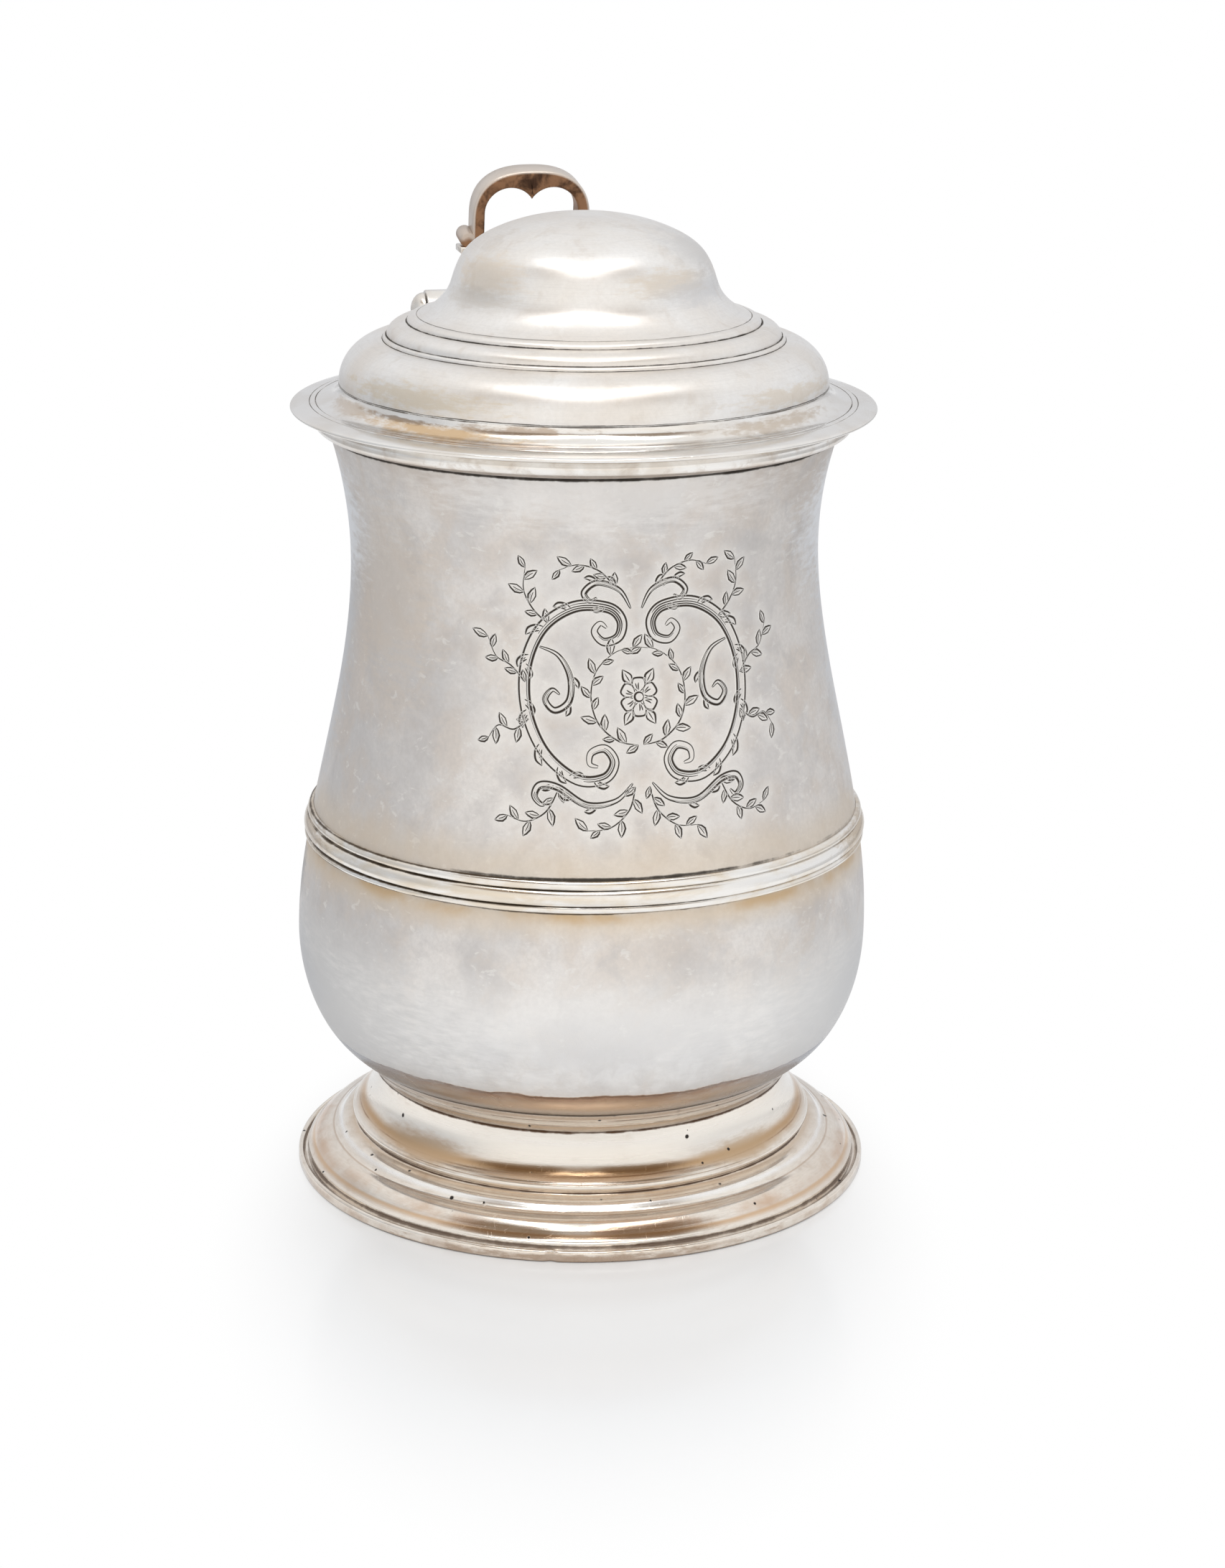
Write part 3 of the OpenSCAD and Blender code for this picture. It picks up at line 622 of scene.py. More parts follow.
# Scroll cuts: shift, from, to, share of the cut, thickest place
# Tongues: place along the scroll, size, side
engraving = {
    "middleZ": 113, "size": 0.88, "cut": 0.42, "lift": 0.012,
    "groove": [(-1.15, -0.02), (-0.8, 0.035), (-0.62, 0.05), (-0.3, 0.032)], "haloReach": 1.25,
    "leafGap": 2.5, "leafTilt": 42, "leafSmall": 0.8, "leafBig": 1.2, "swayLeast": 0.75, "swayMost": 1.2,
    "seed": 11, "darkTo": (0.18, 0.32), "swellLeast": 0.12, "swellPower": 0.6, "endShare": 0.35,
    "side": [
        (6.6, 15.3), (8, 16.3), (9.3, 14.4), (7.3, 12.2), (4, 13.3), (3.3, 16.9), (6.2, 19.8), (13.5, 20),
        (20.5, 15.4), (24.6, 7), (25, -3), (21.4, -12), (14.5, -17.6), (8.3, -17.4), (6, -14), (7.9, -11),
        (11, -11.8), (11.5, -14.2), (9.7, -14.9)],
    "lower": [
        (2.2, -18.6), (6, -22.2), (12.5, -23), (18.6, -19.4), (22.6, -19), (24, -21.4), (22.4, -23.2),
        (21, -22)],
    "crest": [(1.2, 19.4), (3.6, 23.6), (8.4, 25.4), (11.4, 23.2), (10.2, 21.2), (8.6, 22)],
    "inward": [
        (21.6, 11), (17.4, 9.2), (15, 4.6), (15.4, -0.6), (18.6, -2.8), (20.6, -0.6), (19, 1.6),
        (17.4, 0.6)],
    "widths": {"side": 2.3, "lower": 1.25, "crest": 1, "inward": 1.1},
    "scrollCuts": [
        (0.5, 0, 1, 1, 0.35), (-0.5, 0, 1, 1.25, 0.6), (-0.26, 0.14, 0.6, 0.7, 0.3),
        (-0.04, 0.22, 0.46, 0.7, 0.3), (0.2, 0.3, 0.4, 0.7, 0.3), (-0.26, 0.62, 0.9, 0.7, 0.3),
        (0, 0.68, 0.84, 0.7, 0.3)],
    "sideTongues": [
        (0.40, 1, 1), (0.445, 1.15, 1), (0.49, 1, 1), (0.56, 1.05, 1), (0.60, 1.2, 1), (0.64, 1, 1),
        (0.70, 0.9, 1), (0.34, 0.8, -1), (0.50, 0.9, -1), (0.545, 1, -1), (0.66, 0.9, -1)],
    "tongues": {
        "lower": (0.8, -1, (0.25, 0.36, 0.47)),
        "crest": (0.8, 1, (0.25, 0.4)),
        "inward": (0.8, -1, (0.3, 0.45))},
    "tongue": [
        ([(0, 0), (1.25, 0.7), (2, 2.2), (1.5, 3.6)], 5, 1.1, 0.6),
        ([(0, 1.1), (0.75, 2), (1.5, 3.6)], 5, 0.8, 0.4),
        ([(0.4, 0.8), (1.2, 2.2)], 4, 0.6, 0.5)],
    "petal": [
        ([(1.2, -0.3), (2.4, -1.4), (3.9, -1.2), (4.2, 0), (3.9, 1.2), (2.4, 1.4), (1.2, 0.3)], 5, 1, 0.4),
        ([(1.5, 0), (2.4, 0.1), (3.1, 0)], 4, 0.7, 0.5),
        ([(1.6, 0.3), (2.5, 0.6), (3, 0.7)], 4, 0.6, 0.5)],
    "sepal": [
        ([(3.4, 0), (4.9, 1), (7, 0)], 6, 1.1, 0.5),
        ([(3.4, 0), (4.9, -1), (7, 0)], 6, 0.8, 0.5),
        ([(3.9, 0), (6, 0)], 4, 0.6, 0.3)],
    "petals": 6, "sepalReach": 0.9, "eye": 1, "eyeCut": (1.1, 0.5), "twig": (0.8, 0.2),
    "stems": [
        [(19.5, 16.2), (22.6, 19.2), (24.6, 23.4), (24.2, 28.4)],
        [(25, 3), (28, 6.4), (31.4, 8.2), (33.2, 12.4)],
        [(24.6, -5), (28, -7.4), (31.6, -6.8), (34, -9.6)],
        [(18.4, -19.4), (21.4, -24.6), (26, -27), (30.2, -26)],
        [(4.6, 24.4), (8, 28), (12.6, 29.4), (16.6, 28.2)],
        [(1.6, -19.4), (3.2, -24.4), (7.4, -28), (12.4, -28.6)],
        [(0.6, -10.4), (5, -9.4), (9.2, -5.6), (10.6, 0), (9.2, 5.8), (5, 9.8), (0.9, 10.8)]],
    "leaf": [
        [(0, 0, 0.2), (0.7, 0.55, 0.34), (1.6, 0.8, 0.4), (2.6, 0.45, 0.36), (3.3, 0, 0.22)],
        [(0, 0, 0.16), (0.9, -0.45, 0.24), (1.8, -0.62, 0.28), (2.6, -0.35, 0.26), (3.3, 0, 0.2)],
        [(0.3, 0.02, 0.14), (1.4, 0.1, 0.2), (2.3, 0.06, 0.14)],
        [(0.8, 0.3, 0.1), (1.5, 0.45, 0.16), (2, 0.36, 0.1)]]}
# the dark cut colour fills each cut: oxide in the groove, and painted shade of the recess
engravedFinish = agedSilver("engravedSilver", dict(
    silver, metal=(0.88, 0.855, 0.82), metallic=0.7, rough=0.24, Lathe=0.3, Scratch=0.2, Grain=0.3,
    bump=0.5, roughWear=0.2, gloss=bodyLook["gloss"], edge=bodyLook["edge"], cut=(0.036, 0.027, 0.02)))


def pathAlong(points, steps=9):
    return [Vector(p) for p in smoothLine(points, steps)]


def frameAt(line, k):
    # the heading of a line at one of its points, and the way to its left
    along = (line[min(k + 1, len(line) - 1)] - line[max(k - 1, 0)]).normalized()
    return along, Vector((-along.y, along.x))


def offsetLine(line, aside, low, high):
    # part of a line, moved sideways by a width that swells and dies away
    made = []
    count = len(line) - 1
    least = engraving["swellLeast"]
    for k in range(int(low * count), int(high * count) + 1):
        swell = sin(pi * min(1.0, max(0.0, k / count))) ** engraving["swellPower"]
        made.append(line[k] + frameAt(line, k)[1] * aside * (least + (1 - least) * swell))
    return made


def cutLine(line, share, heavy):
    # tapers both ends of one cut; heavy places its thickest point
    made = []
    count = len(line) - 1
    least = engraving["endShare"]
    for k, p in enumerate(line):
        t = min(k / count / heavy, (1 - k / count) / (1 - heavy), 1.0)
        wide = least + (1 - least) * sin(pi / 2 * t)
        made.append((p.x, p.y, 0.0, engraving["cut"] * share * wide))
    return made


def drawn(cuts, base, out, across, size=1.0):
    # small cuts given in the frame of a leaf or a petal
    made = []
    for points, steps, share, heavy in cuts:
        placed = [base + (out * a + across * b) * size for a, b in points]
        made.append(cutLine(pathAlong(placed, steps), share, heavy))
    return made


def scrollBand(points, width):
    # a scroll drawn with one fine edge, one heavy edge and shading cuts between
    line = pathAlong(points)
    return [cutLine(offsetLine(line, width * aside, low, high), share, heavy)
            for aside, low, high, share, heavy in engraving["scrollCuts"]]


def tongue(line, at, size, side):
    # an acanthus tongue that springs from a scroll
    k = int(at * (len(line) - 1))
    along, left = frameAt(line, k)
    return drawn(engraving["tongue"], line[k], left * side, along, size)


def rosette():
    made = []
    step = 2 * pi / engraving["petals"]
    for k in range(engraving["petals"]):
        for cuts, start in ((engraving["petal"], step / 2), (engraving["sepal"], step)):
            a = start + k * step
            out = Vector((cos(a), sin(a)))
            if cuts is engraving["petal"] or abs(out.x) < engraving["sepalReach"]:
                made += drawn(cuts, Vector((0.0, 0.0)), out, Vector((-out.y, out.x)))
    ring = arc(0.0, 0.0, engraving["eye"], engraving["eye"], 0, 2 * pi, 10)
    return made + [cutLine(pathAlong(ring, 3), *engraving["eyeCut"])]


def bothSides(lines):
    return lines + [[(-x, y, z, w) for x, y, z, w in line] for line in lines]


def engravedLines():
    made = []
    for name, width in engraving["widths"].items():
        made += scrollBand(engraving[name], width)
    for at, size, side in engraving["sideTongues"]:
        made += tongue(pathAlong(engraving["side"]), at, size, side)
    for name, (size, side, places) in engraving["tongues"].items():
        for at in places:
            made += tongue(pathAlong(engraving[name]), at, size, side)
    return bothSides(made) + rosette()


def scaled(lines):
    return [[(x * mm, y * mm, z, w) for x, y, z, w in line] for line in lines]


def makeEngravingTree():
    inputs = {
        "Lines": "Geometry", "Stems": "Object", "Leaf": "Object", "Groove": "Object", "Leaf Gap": 0.0025,
        "Leaf Tilt": 0.7, "Small": 0.8, "Big": 1.2, "Least Sway": 0.75, "Most Sway": 1.2, "Seed": 11,
        "Finish": "Material"}
    tree, given, out = newGroup("GeometryNodeTree", "engravedLines", inputs, {"Geometry": "Geometry"})
    names = ("Stems", "Leaf", "Groove")
    sources = [{"Object": given[name], "As Instance": name == "Leaf"} for name in names]
    stems, leaf, groove = (flow(tree, "GeometryNodeObjectInfo", source, "Geometry") for source in sources)
    gaps = {"Curve": stems, "Length": given["Leaf Gap"]}
    places = ports(tree, addNode(tree, "GeometryNodeCurveToPoints", gaps, mode="LENGTH"))
    side = calc("MODULO", flow(tree, "GeometryNodeInputIndex", {}), 2.0) * 2.0 - 1.0
    draw = {2: given["Least Sway"], 3: given["Most Sway"], "Seed": given["Seed"]}
    sway = flow(tree, "FunctionNodeRandomValue", draw, 1, data_type="FLOAT")
    along = flow(tree, "FunctionNodeAlignRotationToVector", {"Vector": places["Tangent"]}, axis="X")
    lean = {"Axis": (0.0, 0.0, 1.0), "Angle": side * given["Leaf Tilt"] * sway}
    lean = flow(tree, "FunctionNodeAxisAngleToRotation", lean)
    turn = {"Rotation": along, "Rotate By": lean}
    turn = flow(tree, "FunctionNodeRotateRotation", turn, rotation_space="LOCAL")
    draw = {2: given["Small"], 3: given["Big"], "Seed": given["Seed"]}
    size = flow(tree, "FunctionNodeRandomValue", draw, 1, data_type="FLOAT")
    sprig = {"Points": places["Points"], "Instance": leaf, "Rotation": turn, "Scale": size}
    leaves = flow(tree, "GeometryNodeInstanceOnPoints", sprig)
    joined = tree.nodes.new("GeometryNodeJoinGeometry")
    for part in (flow(tree, "GeometryNodeRealizeInstances", {"Geometry": leaves}), stems, given["Lines"]):
        send(part, joined.inputs[0])
    level = {"Curve": ports(tree, joined)["Geometry"]}
    level = flow(tree, "GeometryNodeSetCurveNormal", level, mode="Z_UP")
    middle = calc("ABSOLUTE", flow(tree, "GeometryNodeSplineParameter", {}, "Factor") - 0.5)
    # the middle of each cut is marked for its dark fill: oxide in the groove, and painted shade of the
    # recess
    dark = {"Geometry": groove, "Name": "cut", "Value": mapRange(middle, *engraving["darkTo"], 1.0, 0.0)}
    marked = flow(tree, "GeometryNodeStoreNamedAttribute", dark, data_type="FLOAT", domain="POINT")
    sweep = {"Curve": level, "Profile Curve": marked, "Scale": flow(tree, "GeometryNodeInputRadius", {})}
    return finishTree(tree, flow(tree, "GeometryNodeCurveToMesh", sweep), given, out)


def wrapOnWall(mesh):
    for vertex in mesh.vertices:
        u, v, lift = vertex.co / mm
        z = engraving["middleZ"] + v * engraving["size"]
        angle = u * engraving["size"] / bodyRadius(z)
        r = bodyRadius(z) + dentAt(angle, z) * bodyShape["dents"] + lift
        vertex.co = (Vector((r * sin(angle), -r * cos(angle), z)) + viewRight * bowAt(z)) * mm
    mesh.update()


def brightenAround(piece):
    # the wall is rubbed brighter close to the cuts
    tree = kdtree.KDTree(len(piece.data.vertices))
    for k, vertex in enumerate(piece.data.vertices):
        tree.insert(vertex.co, k)
    tree.balance()
    halo = raisedBody.data.attributes.new("burnish", "FLOAT", "POINT")
    for k, vertex in enumerate(raisedBody.data.vertices):
        away = tree.find(vertex.co)[2] / mm
        halo.data[k].value = exp(-(away / engraving["haloReach"]) ** 2)


def makeEngraving():
    e = engraving
    lines = polyCurve("scrollLines", scaled(engravedLines()))
    twigs = [cutLine(pathAlong(points, 8), *e["twig"]) for points in e["stems"]]
    stems = polyCurve("sprigStems", scaled(bothSides(twigs)))
    leaf = polyCurve("leafOutline", scaled([[(x, y, 0.0, w) for x, y, w in line] for line in e["leaf"]]))
    profile = e["groove"] + [(0.0, e["lift"])] + [(-x, y) for x, y in reversed(e["groove"])]
    groove = polyCurve("grooveProfile", [[(x * mm, -y * mm / e["cut"], 0.0, 1.0) for x, y in profile]])
    made = bakeNodes(lines, makeEngravingTree(), "engravedCartouche", {
        "Stems": stems, "Leaf": leaf, "Groove": groove, "Leaf Gap": e["leafGap"] * mm,
        "Leaf Tilt": radians(e["leafTilt"]), "Small": e["leafSmall"], "Big": e["leafBig"],
        "Least Sway": e["swayLeast"], "Most Sway": e["swayMost"], "Seed": e["seed"],
        "Finish": engravedFinish})
    for source in (stems, leaf, groove):
        bpy.data.objects.remove(source)
    wrapOnWall(made.data)
    brightenAround(made)
    return setDown(made, "vessel", "silver")


makeEngraving()
print("front engraved")

# Rim moulding and girdle

mouldLook = dict(
    silver, metal=(0.91, 0.89, 0.86), metallic=0.92, rough=0.13, Lathe=0.5, Scratch=0.4, Grain=0.2,
    bump=0.3, roughWear=0.25, grime=(0.05, 0.036, 0.024),
    patches=[
        (12, 0.52, 0.12, 9, 1, 0.5, (0.70, 0.61, 0.51), 0.1),
        (4, 0.6, 0.08, 31, 1, 0.35, (0.52, 0.42, 0.33), 0.12)])
lipShape = {"middle": 158.35, "half": 2.05, "out": 3.0, "seam": 0.05, "steps": 24}
lipLook = dict(
    # the line is a painted shadow along the lip moulding's lower edge, where it meets the body
    mouldLook, lines=[(51.6, 156.3, 0.5, 0.95, 0.3)],
    bands=[(156.6, 1.2, 1, 0.8, 10, 0, 0.7, (0.45, 0.34, 0.25))])


def makeLip():
    s = lipShape
    r = bodyShape["lipR"] + s["seam"]
    profile = arc(r, s["middle"], s["out"], s["half"], -pi / 2, pi / 2, s["steps"])
    lip = turned("lipMoulding", profile, agedSilver("lipSilver", lipLook))
    return setDown(lip, "vessel", "silver", "lip_moulding")


girdleShape = {
    "low": 72.1, "heights": (1.3, 3.1, 1.8), "outs": (0.5, 1, 0.7), "least": 0.25, "seam": 0.05,
    "reedSteps": 14, "backSteps": 8, "segments": 288,
    "grime": [(0.35, 0.42, 1, 0.15), (0.35, 0.42, 1, 0.15), (0.2, 0.42, 1, 0.2), (0.2, 0.36, 1, 0.3)]}
girdleLook = dict(
    mouldLook, grime=(0.075, 0.05, 0.028),
    patches=[(14, 0.5, 0.14, 19, 3, 0.65, (0.74, 0.62, 0.46), 0.05)],
    spots=[
        (-92, 75, 22, 6, 0.6, 0.75, (0.50, 0.40, 0.29)),
        (68, 75, 20, 6, 0.6, 0.7, (0.52, 0.41, 0.29))])


def makeGirdle():
    g = girdleShape
    profile, z = [], g["low"]
    marks = []
    for tall, out in zip(g["heights"], g["outs"]):
        for a in spread(0, pi, g["reedSteps"]):
            profile.append((g["seam"] + g["least"] + out * sin(a), z + tall * (1 - cos(a)) / 2))
        z += tall
        marks.append(z)
    profile += [(g["seam"], level) for level in spread(z, g["low"], g["backSteps"])]
    creases = zip(marks + [g["low"]], g["grime"])
    lines = [(bodyRadius(level) + out, level, *cut) for level, (out, *cut) in creases]
    made = turned("girdleRing", [(bodyRadius(level) + out, level) for out, level in profile],
                  agedSilver("girdleSilver", dict(girdleLook, lines=lines)), segments=g["segments"])
    handRaise(made, 0.0)
    return setDown(made, "vessel", "silver", "girdle")


makeLip()
makeGirdle()
print("rim moulding and girdle made")

# The turned foot

footLook = dict(
    silver, metal=(0.90, 0.84, 0.765), metallic=0.96, rough=0.09, Lathe=0.8, Scratch=0.35, Grain=0.35,
    bump=0.3, grime=(0.11, 0.058, 0.03),
    pits={"Spacing": 3.2, "Size": 0.42, "Share": 0.24, "colour": (0.02, 0.015, 0.012)},
    patches=[
        (16, 0.53, 0.13, 5, 2.5, 0.3, (0.76, 0.66, 0.56), 0.06),
        (5, 0.62, 0.08, 63, 3, 0.3, (0.60, 0.47, 0.36), 0.12),
        (3, 0.54, 0.08, 21, 16, 0.25, (0.66, 0.60, 0.52))],
    spots=[
        (-56, 13.4, 16, 3.4, 0.25, 0.85, (0.52, 0.36, 0.22)),
        (34, 13.2, 14, 2.8, 0.25, 0.75, (0.54, 0.38, 0.23)),
        (-75, 5, 34, 5, 0.6, 0.2, (0.62, 0.49, 0.38), 0.03),
        (55, 5, 34, 5, 0.6, 0.2, (0.62, 0.49, 0.38), 0.03),
        (-12, 0.6, 34, 1.6, 1, 0.75, (0.46, 0.34, 0.25), 0.12)])
footFinish = agedSilver("footSilver", dict(
    footLook,
    lines=[
        (43.6, 21, 0.45, 1, 0.4), (44.05, 19.6, 0.1, 0.5, 0.8), (47.75, 9.6, 0.28, 0.95, 0.3),
        (57.95, 2.3, 0.6, 0.85, 0.3)],
    bands=[
        # painted reflections: the first row whitens the cavetto, the second puts a golden-brown band below
        # it
        (17, 5.5, 3.6, 1.2, 9, 0, 0.8, (0.92, 0.885, 0.83), 0.1, -0.36),
        (13.2, 1.5, 1.8, 0.8, 14, 0, 0.9, (0.52, 0.325, 0.16)),
        (12.6, 0.14, 0.18, 0.35, 10, 14, 0.85, (0.28, 0.16, 0.08)),
        # painted reflection: golden brown in the hollow under the crease
        (9.2, 0.5, 0.7, 0.6, 9, 0, 0.6, (0.58, 0.41, 0.26)),
        # painted highlight: a white ring on the ogee
        (8.15, 0.45, 0.75, 0.2, 16, 0, 0.9, (1, 0.99, 0.975), 0, -0.3),
        (6.98, 0.1, 0.12, 0.1, 14, 0, 0.5, (0.42, 0.27, 0.17)),
        (5.4, 1.6, 2.4, 2.6, 9, 14, 0.85, (0.66, 0.46, 0.32), 0.03),
        # painted reflection: golden brown low on the ogee
        (4.2, 0.5, 0.9, 0.3, 18, 0, 0.8, (0.68, 0.45, 0.26)),
        (1, 1.2, 1.6, 1.2, 5, 7, 0.8, (0.58, 0.45, 0.35), 0.14),
        # painted shadow: a dark line where the rim meets the floor
        (0, 0.5, 1, 0.5, 5, 0, 0.8, (0.26, 0.18, 0.13), 0.1)]))
collarFinish = agedSilver("collarSilver", dict(
    footLook,
    lines=[
        (43.6, 21, 0.45, 1, 0.4), (47.9, 26.3, 0.3, 0.85, 0.4), (45.95, 24.3, 0.2, 0.9, 0.3),
        (44.7, 22.8, 0.16, 0.85, 0.4)],
    bands=[
        # painted reflections: two brown bands on the collar
        (25.2, 1.4, 0.7, 0.5, 9, 0, 0.75, (0.60, 0.45, 0.33), 0.03),
        (22.4, 0.7, 1.2, 0.5, 9, 0, 0.75, (0.60, 0.44, 0.29), 0.03)]))
footShape = {
    "collarIn": [(40.5, 21), (43.5, 21)], "collarTop": (45, 26.35),
    "collar": [
        [(43.5, 21), (44.25, 22.2), (44.62, 22.75)],
        [(44.8, 22.78)],
        [(44.82, 22.95), (45.4, 23.75), (45.85, 24.25)],
        [(46.05, 24.28)],
        [(46.08, 24.45), (46.9, 25.35), (48, 26.35)]],
    "neck": [
        (43.5, 20.95), (43.55, 19.5), (43.75, 18), (44.1, 16.6), (44.6, 15.4), (45.25, 14.3),
        (46.05, 13.3), (46.95, 12.45), (47.7, 11.85)],
    "nose": [(47.85, 11.6), (48.2, 11.35), (48.35, 11), (48.3, 10.6), (48.1, 10.25), (47.85, 9.95)],
    "ogee": [
        (47.75, 9.5), (48.1, 9.2), (48.7, 8.95), (49.5, 8.78), (50.2, 8.6), (50.7, 8.3), (51.2, 7.85),
        (51.7, 7.4), (52.2, 7.08), (52.9, 6.85), (53.8, 6.6), (54.6, 6.25), (55.4, 5.65), (56.1, 4.95),
        (56.7, 4.2), (57.15, 3.7), (57.45, 3.4)],
    "ridge": [(57.68, 3.32), (57.85, 3.15), (57.88, 2.95), (57.88, 2.45)],
    "under": [(56.6, 2.45), (55.3, 4.3), (53.4, 5.8), (51, 6.6), (48.6, 7.3), (46.6, 8.6), (46.3, 10.6)],
    "neckWall": 0.95, "neckFrom": 12.5,
    "rimLow": [(56.4, 0), (59.6, 0), (59.9, 0.12), (60, 0.45), (60, 1.5)],
    "rimBead": (59.4, 1.5, 0.6, 0.75, 0.2, pi / 2 + 0.4, 8),
    "rimTop": [(58.85, 1.95), (58.5, 1.6), (58.1, 1.6), (57.9, 2), (57.86, 2.4), (56.4, 2.4)],
    "rimSegments": 512, "nick": {"angle": -17.6, "half": 1.5, "deep": 0.5, "outR": 60, "fromR": 58.9}}


def nickEdge(ring, nick):
    # a small old nick in the edge
    for vertex in ring.data.vertices:
        spot = vertex.co / mm
        away = abs(atan2(spot.x, -spot.y) - radians(nick["angle"])) * nick["outR"]
        if spot.xy.length > nick["fromR"] and away < nick["half"]:
            inward = Vector((-spot.x, -spot.y, 0.0)).normalized()
            vertex.co += inward * nick["deep"] * (1 - away / nick["half"]) * mm


def makeFoot():
    f = footShape
    collar = list(f["collarIn"])
    for points in f["collar"]:
        collar += smoothLine(points, 4) if len(points) > 1 else points
    collar.append(f["collarTop"])
    setDown(turned("footCollar", collar, collarFinish), "vessel", "worn_silver", "foot_collar")
    neck = smoothLine(f["neck"], 4)
    outer = neck + smoothLine(f["nose"], 4) + smoothLine(f["ogee"], 6) + f["ridge"]
    inner = [(r - f["neckWall"], z) for r, z in reversed(neck[::3]) if z > f["neckFrom"]]
    foot = turned("footMoulding", outer + smoothLine(f["under"], 5) + inner, footFinish)
    setDown(foot, "vessel", "worn_silver", "foot")
    rim = f["rimLow"] + arc(*f["rimBead"]) + f["rimTop"]
    ring = turned("footRim", rim, footFinish, segments=f["rimSegments"])
    nickEdge(ring, f["nick"])
    return setDown(ring, "vessel", "worn_silver", "foot_rim")


makeFoot()
print("foot turned")

# The lid

lidShape = {
    "wall": 0.9, "wallDrop": 1.2,
    "dome": [
        (0, 199.4), (4, 199.25), (8, 198.85), (12, 198.05), (15.6, 196.95), (18.7, 195.65),
        (20.9, 194.45), (22.6, 193.2), (23.9, 191.85), (24.8, 190.5), (25.45, 189.2), (26, 187.8),
        (26.45, 186.4), (26.95, 185), (27.65, 183.7), (28.6, 182.5), (29.9, 181.3), (31.4, 180.3),
        (33, 179.5), (33.45, 179.3)],
    "steps": [
        ((33.5, 179.1), (33.6, 179.25, 1.85, 1.25, 10)),
        ((35.4, 177.8), (35.6, 177.95, 3.95, 2.55, 14)),
        ((39.5, 175.2), (39.7, 175.35, 0.68, 0.75, 6)),
        ((40.35, 174.4), (40.5, 174.55, 8.7, 8.7, 36))],
    "skirt": (48.3, 165.85), "skirtIn": (40.4, 173.65, 7.9, 7.8, 14),
    "inside": [
        (33, 179.5, 0.3), (29.9, 181.3, 0.7), (27.65, 183.7, 0.9), (26.45, 186.4, 1),
        (25.45, 189.2, 0.95), (23.9, 191.85, 0.8), (20.9, 194.45, 0.6), (15.6, 196.95, 0.4),
        (8, 198.85, 0.25), (0, 199.4, 0.2)],
    "flangeTop": [(48.3, 160.7), (48.3, 165.8), (49.2, 165.8)], "cove": (49.2, 165.75, 4.55, 3.5, 20),
    "incised": [
        (53.85, 162.05), (54, 162.22), (54.6, 162.18), (54.95, 162.16), (55.08, 162), (55.22, 162.12)],
    "brim": [(55.8, 162.05), (57.2, 161.82), (58.5, 161.55)],
    "brimEdge": (58.6, 161.1, 0.4, 0.4, pi / 2, -pi / 2, 10),
    "bezel": [(48.4, 156.15), (49.1, 156.15), (49.3, 156.35), (49.3, 160.65), (48.4, 160.65)]}
lidLook = dict(
    silver, metal=(0.925, 0.917, 0.905), metallic=0.84, rough=0.34, gloss=0.1, Lathe=0.4, Scratch=0.3,
    Grain=0.3, bump=0.25, roughWear=0.2, grime=(0.045, 0.038, 0.03),
    patches=[
        (38, 0.5, 0.16, 15, 1, 0.45, (0.76, 0.665, 0.56), 0.04),
        (6, 0.62, 0.08, 55, 1, 0.25, (0.60, 0.51, 0.42), 0.1),
        (8, 0.6, 0.1, 33, 40, 0.16, (0.60, 0.58, 0.57), 0.04),
        (0.8, 0.5, 0.2, 4, 1, 0.16, (0.62, 0.59, 0.56))],
    spots=[
        # the two grey spots on the dome's right flank, at 48 and 62 degrees, are painted shade
        (-62, 189, 12, 5, 0.4, 0.55, (0.83, 0.70, 0.55)),
        (30, 188.5, 13, 3.4, 0.5, 0.65, (0.76, 0.66, 0.54)),
        (48, 186.2, 15, 3.4, 0.4, 0.55, (0.68, 0.68, 0.69)),
        (-66, 184.8, 13, 2.6, 0.4, 0.6, (0.70, 0.645, 0.58)),
        (62, 193, 13, 5, 0.4, 0.5, (0.66, 0.655, 0.65)),
        (-55, 168.5, 24, 2.6, 0.7, 0.6, (0.74, 0.63, 0.47), 0.1),
        (45, 168, 20, 2.2, 0.7, 0.5, (0.72, 0.61, 0.47), 0.1)],
    lines=[
        (33.5, 179.25, 0.16, 0.6, 0.7), (35.55, 177.95, 0.28, 0.95, 0.35),
        (39.65, 175.35, 0.22, 0.9, 0.4), (40.4, 174.55, 0.17, 0.85, 0.5), (49.2, 165.8, 0.2, 0.95, 0.3)])
flangeLook = dict(
    mouldLook, patches=[(14, 0.53, 0.14, 9, 5, 0.4, (0.72, 0.64, 0.55), 0.04)],
    spots=[
        (-46, 163.2, 22, 1.3, 0.5, 0.85, (0.68, 0.46, 0.24), 0.02),
        (-58, 164.3, 13, 0.5, 0.8, 0.8, (0.34, 0.24, 0.16), 0.05),
        (-78, 163.8, 14, 1.4, 0.6, 0.55, (0.55, 0.42, 0.30), 0.1),
        (38, 163.6, 22, 1.3, 0.7, 0.6, (0.52, 0.41, 0.30), 0.1),
        (-25, 164.6, 12, 0.9, 0.8, 0.7, (0.46, 0.34, 0.24), 0.1)],
    lines=[(49.3, 165.6, 0.2, 0.9, 0.3), (53.9, 162.15, 0.15, 0.85, 0.5), (55.1, 162.05, 0.13, 0.8, 0.5)])


